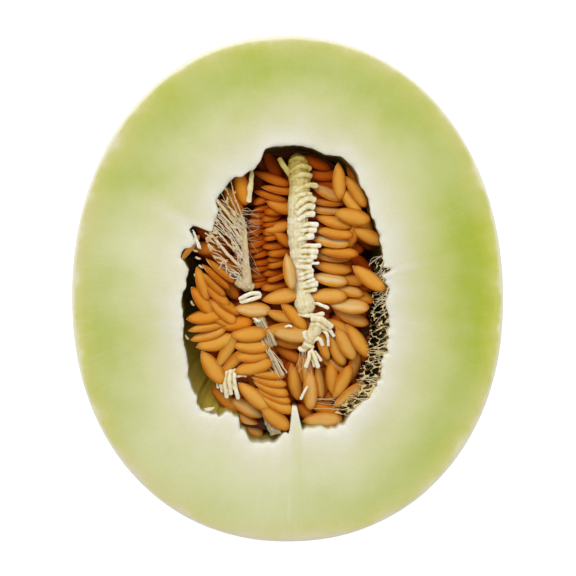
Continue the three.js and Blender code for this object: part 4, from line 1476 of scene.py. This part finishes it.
# Points along each edge of a torn sheet, its grid in mm, how far its cells' middles stray
# from their rows, as a share of a cell, and how it is smoothed and its hollows measured.
SHEET_SAMPLES = 200
SHEET_STEP = 0.11
CELL_STRAY = 0.42
SHEET_SMOOTHING = (0.5, 4)
SHEET_HOLLOWS = (12, 0.3)
# Waves on a sheet, each time their number, the shortest and the longest. In cells: what
# bends the cells and what frays the outline. In mm: what swells the threads and what lifts
# the sheet.
CELL_BEND = (6, (0.5, 1.6))
FRAYING = (7, (0.3, 1.1))
THREAD_SWELL = (8, (1.5, 5))
SHEET_LIFT = (6, (2, 6))
# The sizes of these waves: in cells, in mm, as a share of a thread's width, and in mm.
BEND_SIZE, FRAY_SIZE, SWELL_SIZE, LIFT_SIZE = 0.16, 0.35, 0.35, 0.2
# How much wider the threads get where the sheet closes up, and how late they do.
CLOSING_WIDTH, CLOSING_POWER = 1.2, 6


def torn_sheet(name, edges, settings, material, cell, thread, slant, bulge, seed):
    """A web between two edges, which is a sheet torn open inside random long cells, so that
    only their borders are left. Cell: size along and across; it closes at its second edge."""
    generator = np.random.default_rng(seed)
    first, second = (smooth_path(edge, SHEET_SAMPLES) for edge in edges)
    total = np.linalg.norm(np.diff(first + second, axis=0), axis=1).sum() / 2
    breadth = np.linalg.norm(first - second, axis=1).mean()
    rows, columns = int(total / SHEET_STEP), int(breadth / SHEET_STEP)
    along, across = np.meshgrid(np.linspace(0, 1, rows), np.linspace(0, 1, columns),
                                indexing="ij")
    where = np.clip(along - slant / total * across, 0, 1)
    shares = np.linspace(0, 1, SHEET_SAMPLES)
    low, high = (np.stack([np.interp(where, shares, edge[:, i]) for i in range(3)], axis=-1)
                 for edge in (first, second))
    points = (low + (high - low) * across[..., None]).reshape(-1, 3)
    along, across = along.ravel(), across.ravel()
    plan = np.column_stack([along * total / cell[0], across * breadth / cell[1]])
    plan += BEND_SIZE * np.column_stack([waves(plan, *CELL_BEND, seed + i) for i in (1, 2)])
    nearest, second_nearest = (np.full(len(plan), 9.0) for _ in range(2))
    for i in range(-1, int(total / cell[0]) + 2):
        for j in range(-1, int(breadth / cell[1]) + 2):
            centre = (i + 0.5 * (j % 2) + generator.uniform(-CELL_STRAY, CELL_STRAY),
                      j + generator.uniform(-CELL_STRAY, CELL_STRAY))
            away = np.hypot(*(plan - centre).T)
            second_nearest = np.minimum(second_nearest, np.maximum(nearest, away))
            nearest = np.minimum(nearest, away)
    border = (second_nearest - nearest) / 2 * cell[0]
    swell = np.clip(waves(points[:, :2], *THREAD_SWELL, seed + 3), -1, 2)
    width = thread * (1 + SWELL_SIZE * swell)
    ragged = FRAY_SIZE * (1 + waves(plan, *FRAYING, seed + 4))
    inside = np.minimum(np.minimum(along, 1 - along) * total, across * breadth) > ragged
    width = width * (1 + CLOSING_WIDTH * across ** CLOSING_POWER)
    kept = (inside & (border < width)).reshape(rows, columns)
    points[:, 2] += bulge * np.sin(np.pi * across)
    points[:, 2] += LIFT_SIZE * waves(points[:, :2], *SHEET_LIFT, seed)
    index = np.arange(rows * columns).reshape(rows, columns)
    whole = kept[:-1, :-1] & kept[1:, :-1] & kept[:-1, 1:] & kept[1:, 1:]
    corners = (index[:-1, :-1], index[1:, :-1], index[1:, 1:], index[:-1, 1:])
    faces = np.stack([corner[whole] for corner in corners], axis=1).tolist()
    sheet = mesh_object(name + "_sheet", points, faces, [material])
    piece = finished(name, sheet, (
        ("SOLIDIFY", {"thickness": settings.thickness, "offset": 0.0}),
        *melted(settings.voxel, *SHEET_SMOOTHING)))
    mark_hollows(piece, *SHEET_HOLLOWS)
    ride_at_cut(piece, "placenta")


class MELON_OT_strands(Operator):
    """Grows the fleshy strands with their seed stalks, in place of the plain strands"""
    bl_idname = "melon.strands"
    bl_label = "Seed Strands"

    PATH_POINTS, STALK_POINTS, FOLD_POINTS = 60, 30, 20
    THREAD_SIDES = 14
    # The share of a strand that rounds off at each end.
    END_SHARE = 0.04
    # How far the stalks waver in mm, and how many waves there are in a metre.
    WAVER = (0.7, 240.0)
    # How often the surface is smoothed to find its hollows, and their range in mm.
    HOLLOWS = (30, 0.4)
    # How much lower than the tips' level a stalk's root may lie, and how far a tip hangs.
    ROOT_DROP, TIP_DROP = 1.2, 0.6

    def execute(self, context):
        settings = context.scene.melon_strands
        firm = tissue_material("seed_strand_tissue", settings.tissue, settings.flat,
                               settings.shade)
        soft = tissue_material("thin_strand_tissue", settings.soft, settings.soft_flat,
                               settings.shade)
        strands = (
            ("ridge_strand", "placenta_ridge", RIDGE_PATH, RIDGE_HALF_WIDTHS, RIDGE_BRANCHES),
            ("lower_strand", "placenta_lower", LOWER_PATH, LOWER_HALF_WIDTHS, LOWER_BRANCHES),
            ("left_strand", "placenta_left", LEFT_PATH, LEFT_HALF_WIDTHS, LEFT_BRANCHES),
            ("left_stalks", None, STALK_PATH, STALK_HALF_WIDTHS, STALK_BRANCHES),
            ("tuft_strand", "placenta_tuft", TUFT_PATH, TUFT_HALF_WIDTHS, TUFT_BRANCHES),
        )
        for name, node, path, widths, branches in strands:
            body = smooth_path(path, self.PATH_POINTS)
            share = np.linspace(0, 1, self.PATH_POINTS)
            width = np.interp(share, np.linspace(0, 1, len(widths)), widths)
            width += settings.lumpiness / MM * waves(body, *STRAND_LUMPS)
            ends = np.sqrt(np.clip(np.minimum(share, 1 - share) / self.END_SHARE, 0.05, 1))
            threads = [(body, width * ends),
                       *(rounded(*branch, self.STALK_POINTS) for branch in branches)]
            if node == "placenta_ridge":
                threads += self.ridge_stalks(body, width, settings.flatness)
            tissue = soft if node == "placenta_left" else firm
            piece = swept(name, threads, tissue, self.THREAD_SIDES, *self.WAVER,
                          settings.flatness, melted(settings.voxel, 0.5, settings.melting))
            roughen(piece, settings.roughness / MM, STRAND_GRAIN)
            mark_hollows(piece, *self.HOLLOWS)
            ride_at_cut(piece, "placenta", *([node] if node else []))
        return {"FINISHED"}

    def ridge_stalks(self, body, width, flatness):
        """Stalks folded over the ridge, whose tips hang over its right edge as fingers."""
        levels, heights = zip(*TIP_HEIGHTS)
        stalks = []
        for x, y, tip_x, tip_y, bow, thick in RIDGE_FOLDS:
            points = []
            # The share of its thickness that a stalk's root is sunk in the ridge.
            sunk = 0.35 if y > ARCHES_FROM_Y else 0.5
            for share in (0, 0.25, 0.5, 0.75, 1):
                plan = np.array([x + (tip_x - x) * share,
                                 y + (tip_y - y) * share + 4 * bow * share * (1 - share)])
                away = np.hypot(*(body[:, :2] - plan).T)
                nearest = int(np.argmin(away))
                rise = np.sqrt(max(width[nearest] ** 2 - away[nearest] ** 2, 0)) * flatness
                # It lies on the ridge, or past its edge keeps level, and its tip hangs down.
                over = body[nearest, 2] + rise + thick * ((0.15 + sunk) * share - sunk)
                level = np.interp(plan[1], levels, heights) - self.ROOT_DROP * (1 - share)
                points.append((*plan, max(over, level) - self.TIP_DROP * (share == 1)))
            stalks.append(rounded(points, thick * 0.8, thick * 1.05, self.FOLD_POINTS))
        return stalks


# Sides of a fine thread and the points along it.
FIBRE_SIDES, FIBRE_POINTS = 6, 18


class MELON_OT_fibres(Operator):
    """Spins the fine fibres between the seeds"""
    bl_idname = "melon.fibres"
    bl_label = "Fibres"

    SINGLE_POINTS, RING_POINTS = 16, 26
    # How far the fibres waver in mm, and how many waves there are in a metre.
    WAVER = (1.5, 220.0)
    # How far a fibre's ends stray in height, and its middle along each axis, in mm; how far
    # its end strays along its line, as a share; and its shares of the usual thickness.
    END_STRAY, MIDDLE_STRAY = 0.6, (0.7, 0.7, 0.3)
    LINE_STRAY = 0.2
    THICKNESS_SHARES = (0.4, 1.5)

    def execute(self, context):
        settings = context.scene.melon_fibres
        generator = np.random.default_rng(settings.seed)

        def stray():
            return generator.uniform(-self.END_STRAY, self.END_STRAY)

        material = tissue_material("fine_pulp_fibres", settings.colour)
        radius = settings.thickness / MM
        threads = [rounded(points, thick, thick, self.SINGLE_POINTS)
                   for points, thick in SINGLE_FIBRES]
        threads.append(self.ring())
        for a, b, c, d, count, sag, thickness, start_height, end_height in FIBRE_FANS:
            a, b, c, d = (np.array(point, float) for point in (a, b, c, d))
            for _ in range(count):
                t = generator.uniform(0, 1)
                u = np.clip(t + generator.normal() * self.LINE_STRAY, 0, 1)
                start = np.append(a + (b - a) * t, start_height + stray())
                end = np.append(c + (d - c) * u, end_height + stray())
                middle = (start + end) / 2 + generator.normal(size=3) * self.MIDDLE_STRAY
                middle[2] -= sag * generator.uniform(0, 1)
                thick = radius * thickness * generator.uniform(*self.THICKNESS_SHARES)
                threads.append(rounded([start, middle, end], thick, thick, FIBRE_POINTS))
        piece = swept("pulp_fibres", threads, material, FIBRE_SIDES, *self.WAVER)
        ride_at_cut(piece, "placenta")
        return {"FINISHED"}

    def ring(self):
        """An uneven oval ring, whose ends overlap."""
        turn = np.linspace(0, 2.06 * math.pi, self.RING_POINTS)
        middle, size, thick = RING
        circle = np.column_stack([1.3 * np.cos(turn) + 0.1 * np.sin(3 * turn),
                                  0.85 * np.sin(turn) - 0.2 * np.cos(turn),
                                  0.3 * np.sin(2 * turn)])
        return middle + circle * size, np.full(self.RING_POINTS, thick)


# The net at the right wall and the web between the left wall and the left strand: two edges
# of each, from the stem end on. The first edge lies on the seeds or the strand and the second
# is grown into the wall.
NET_EDGES = (
    ((29.0, 10.5, -3.8), (28.2, 3, -4.4), (27.6, -4, -4.8), (27.2, -12, -4.8), (26.0, -20, -4.8),
     (24.4, -27, -4.8), (22.0, -33, -4.8), (19.0, -38.0, -4.4), (14.6, -41.6, -4.2)),
    ((32.6, 12.5, -1.0), (34.8, 6.4, -1.2), (34.2, -2, -1.2), (34.8, -9, -1.2), (34.6, -16, -1.2),
     (33.0, -23, -1.2), (30.8, -30, -1.2), (27.2, -37, -1.4), (22.0, -42.4, -1.8),
     (17.0, -46.0, -2.0)),
)
WEB_EDGES = (
    ((-15.4, 28.6, -3.6), (-14.7, 25.0, -3.3), (-14.3, 21.4, -3.0), (-14.1, 17.6, -2.8),
     (-13.9, 13.6, -2.8), (-13.7, 9.8, -2.9), (-13.1, 6.4, -3.1), (-12.7, 3.6, -3.4)),
    ((-19.2, 39.6, -1.8), (-23.6, 35.6, -1.4), (-25.8, 30.2, -1.2), (-26.8, 25.0, -1.2),
     (-27.6, 19.6, -1.4), (-26.4, 14.6, -2.0), (-23.4, 9.6, -2.4), (-20.0, 5.6, -2.6)),
)


class NetSettings(PropertyGroup):
    cell: length("Cell", 1.75, "Usual distance between the threads of the net")
    reach: length("Reach", 2.5, "Usual length of the net's holes")
    thread: length("Thread", 0.145, "Half the width of a thread")
    thickness: length("Thickness", 0.28, "Thickness of the net")
    slant: length("Slant", 5.0, "How much nearer the stem end a thread's outer end is")
    voxel: length("Voxel", 0.14, "Grid that rounds the threads")
    tissue: colour("Net", "F2E4BC", "Raised threads of the net")
    flat: colour("Net Body", "D9C48C", "Broad parts of the net")
    shade: colour("Net Shade", "8A6C34", "Hollows of the net")
    gap: length("Gap", 2.2, "How far the stained net lies under the upper one")
    strings: whole_number("Strings", 46, "How many loose strings lie on the net")
    string: length("String", 0.11, "Half the thickness of a loose string")
    # The lower net's colour is painted dark, as the shade it lies in.
    deep: colour("Stained Net", "8A6630", "The net underneath, soaked in juice")
    web: colour("Web", "E9D6AE", "Raised threads of the left web")
    web_flat: colour("Web Body", "D2B680", "Broad parts of the left web")


class MELON_OT_net(Operator):
    """Stretches the torn webs at the right wall and left of the left strand"""
    bl_idname = "melon.net"
    bl_label = "Net and Web"

    STRING_SEED = 8
    # How far the strings waver in mm, and how many waves there are in a metre.
    WAVER = (1.6, 240.0)
    # Where on the net a string starts, how far it slips to the blossom end, how much of the
    # way down it goes, and its thickness, each from and to what share.
    STARTS, SLIPS = (0.0, 0.94), (0.02, 0.11)
    LENGTHS, THICKNESS_SHARES = (0.6, 1.0), (0.5, 1.4)
    # How far a string's lower end strays, and how far its middle strays along each axis and
    # rises, in mm.
    END_STRAY, MIDDLE_STRAY, RISE = 0.3, (0.5, 0.9, 0.2), (0, 0, 0.5)
    # How far the lower net, painted dark as shade, stands off the upper one towards the cavity's
    # middle, in mm.
    DEEP_INSET = 0.6

    def execute(self, context):
        settings = context.scene.melon_net
        cell, reach, thread, slant = (
            value / MM for value in (settings.cell, settings.reach, settings.thread,
                                     settings.slant))
        net = tissue_material("tough_pulp_net", settings.tissue, settings.flat, settings.shade)
        web = tissue_material("soft_pulp_web", settings.web, settings.web_flat, settings.shade)
        # The lower net is painted dark as shade.
        deep = tissue_material("lower_pulp_net_painted_shade", settings.deep)
        torn_sheet("wall_net", NET_EDGES, settings, net, (cell, reach), thread, slant, 1.0, 4)
        self.spin_strings(settings, net)
        shift = (-self.DEEP_INSET, 0.0, -settings.gap / MM)
        lower = [np.array(edge) + shift for edge in NET_EDGES]
        torn_sheet("deep_net", lower, settings, deep, (cell * 1.4, reach), thread * 0.9,
                   slant * 1.6, 0.6, 12)
        torn_sheet("left_web", WEB_EDGES, settings, web, (cell, reach * 3.0), thread * 0.72,
                   0.0, 0.8, 9)
        return {"FINISHED"}

    def spin_strings(self, settings, material):
        """Loose strings over the net, from the wall down to the seeds, slanting like it."""
        generator = np.random.default_rng(self.STRING_SEED)
        inner, outer = (smooth_path(edge, SHEET_SAMPLES) for edge in NET_EDGES)
        last = SHEET_SAMPLES - 1
        threads = []
        for _ in range(settings.strings):
            share = generator.uniform(*self.STARTS)
            slip = share + generator.uniform(*self.SLIPS)
            high, low = outer[int(share * last)], inner[min(int(slip * last), last)]
            length_share = generator.uniform(*self.LENGTHS)
            end = high + (low - high) * length_share
            end += generator.normal(size=3) * self.END_STRAY
            bow = generator.normal(size=3) * self.MIDDLE_STRAY + self.RISE
            thick = settings.string / MM * generator.uniform(*self.THICKNESS_SHARES)
            threads.append(rounded([high, (high + end) / 2 + bow, end], thick, thick,
                                   FIBRE_POINTS))
        piece = swept("net_strings", threads, material, FIBRE_SIDES, *self.WAVER)
        ride_at_cut(piece, "placenta")


# Thin torn skins: the corners of each as two edges of three points, and its thickness.
FLAPS = (
    # white blade at the left nick
    (((-31.8, 21.0, 0.1), (-31.0, 17.9, 0.3), (-29.7, 14.5, 0.2)),
     ((-31.3, 21.0, 0.1), (-30.0, 18.1, 0.5), (-28.7, 14.5, 0.3)), 0.4),
    # flake at the torn corner
    (((-28.2, -39.6, -1.3), (-26.2, -39.2, -1.0), (-24.2, -39.1, -1.3)),
     ((-27.6, -40.5, -1.2), (-26.0, -40.3, -0.8), (-24.8, -39.7, -1.2)), 0.3),
)
MEMBRANES = (
    # skin in the lower left pocket
    (((-8.6, -41.6, -2.2), (-7.6, -45.0, -2.4), (-5.6, -49.4, -2.0)),
     ((-5.2, -42.6, -2.0), (-3.6, -45.6, -2.2), (-2.0, -48.2, -2.0)), 0.14),
    # skin in the middle
    (((-11.4, -9.6, -2.9), (-9.4, -14.4, -2.7), (-7.9, -19.6, -2.2)),
     ((-7.9, -8.8, -2.9), (-5.8, -13.6, -2.7), (-3.9, -18.4, -2.2)), 0.14),
)


class FlapSettings(PropertyGroup):
    flap: colour("Flap", "E9E6D0", "Torn skins at the rim")
    membrane: colour("Membrane", "D8C49A", "Thin wet skins over the seeds")


class MELON_OT_flaps(Operator):
    """Makes the thin torn skins at the rim and over the seeds"""
    bl_idname = "melon.flaps"
    bl_label = "Flaps and Skins"

    ROWS, COLUMNS = 14, 8
    # How opaque the wet skins are.
    THIN_ALPHA = 0.45
    # How far a skin strays sideways and up, in mm.
    RIPPLE_SIZE, CRUMPLE_SIZE = 0.14, 0.25

    def execute(self, context):
        settings = context.scene.melon_flaps
        for name, skins, tint, alpha in (
                ("torn_flaps", FLAPS, settings.flap, 1.0),
                ("wet_skins", MEMBRANES, settings.membrane, self.THIN_ALPHA)):
            points, faces = [], []
            for left, right, thickness in skins:
                self.add_skin(points, faces, left, right, thickness)
            material = tissue_material(name + "_tissue", tint, alpha=alpha)
            ride_at_cut(mesh_object(name, points, faces, [material]), "placenta")
        return {"FINISHED"}

    def add_skin(self, points, faces, left, right, thickness):
        """A closed thin sheet between two smooth edges, a little crumpled."""
        first, last = smooth_path(left, self.ROWS), smooth_path(right, self.ROWS)
        share = np.linspace(0, 1, self.COLUMNS)[None, :, None]
        sheet = (first[:, None] * (1 - share) + last[:, None] * share).reshape(-1, 3)
        ripple = np.column_stack([waves(sheet, *RIPPLE, seed) for seed in RIPPLE_SEEDS])
        sheet[:, :2] += self.RIPPLE_SIZE * ripple
        sheet[:, 2] += self.CRUMPLE_SIZE * waves(sheet, *SKIN_CRUMPLE)
        # It thins towards its edges.
        along, across = (3 * np.sin(np.pi * np.linspace(0.06, 0.94, count))
                         for count in (self.ROWS, self.COLUMNS))
        edge = np.minimum(np.minimum(along[:, None], across[None, :]), 1)
        half = (thickness / 2 * edge).reshape(-1, 1) * (0, 0, 1)
        start, rim, width = len(points), self.ROWS * self.COLUMNS, self.COLUMNS
        points.extend(sheet + half)
        points.extend(sheet - half)
        for row in range(self.ROWS - 1):
            for column in range(width - 1):
                a = start + row * width + column
                quad = (a, a + width, a + width + 1, a + 1)
                faces.append(quad)
                faces.append(tuple(corner + rim for corner in reversed(quad)))
        border = [start + i for i in range(width)]
        border += [start + row * width + width - 1 for row in range(1, self.ROWS)]
        border += [start + (self.ROWS - 1) * width + i for i in range(width - 2, -1, -1)]
        border += [start + row * width for row in range(self.ROWS - 2, 0, -1)]
        for a, b in zip(border, [*border[1:], border[0]]):
            faces.append((a, b, b + rim, a + rim))


# ---- Panel and start ----

GROUPS = (("melon_stage", StageSettings), ("melon_flesh", FleshSettings),
          ("melon_seeds", SeedSettings), ("melon_strands", StrandSettings),
          ("melon_fibres", FibreSettings), ("melon_net", NetSettings),
          ("melon_flaps", FlapSettings))
OPERATORS = (MELON_OT_stage, MELON_OT_flesh, MELON_OT_seeds, MELON_OT_strands, MELON_OT_fibres,
             MELON_OT_net, MELON_OT_flaps)


class VIEW3D_PT_melon(Panel):
    """Lists the pieces of the melon half with their settings"""
    bl_label = "Melon Half"
    bl_space_type = "VIEW_3D"
    bl_region_type = "UI"
    bl_category = "Melon"

    def draw(self, context):
        for (name, group), operator in zip(GROUPS, OPERATORS):
            box = self.layout.box()
            box.operator(operator.bl_idname)
            for key in group.__annotations__:
                box.prop(getattr(context.scene, name), key)


def register():
    for name, group in GROUPS:
        bpy.utils.register_class(group)
        setattr(bpy.types.Scene, name, PointerProperty(type=group))
    for operator in OPERATORS:
        bpy.utils.register_class(operator)
    bpy.utils.register_class(VIEW3D_PT_melon)


def unregister():
    bpy.utils.unregister_class(VIEW3D_PT_melon)
    for operator in reversed(OPERATORS):
        bpy.utils.unregister_class(operator)
    for name, group in reversed(GROUPS):
        delattr(bpy.types.Scene, name)
        bpy.utils.unregister_class(group)


def main():
    register()
    bpy.ops.melon.stage()
    bpy.ops.melon.flesh()
    bpy.ops.melon.seeds()
    bpy.ops.melon.strands()
    bpy.ops.melon.fibres()
    bpy.ops.melon.net()
    bpy.ops.melon.flaps()


if __name__ == "__main__":
    main()
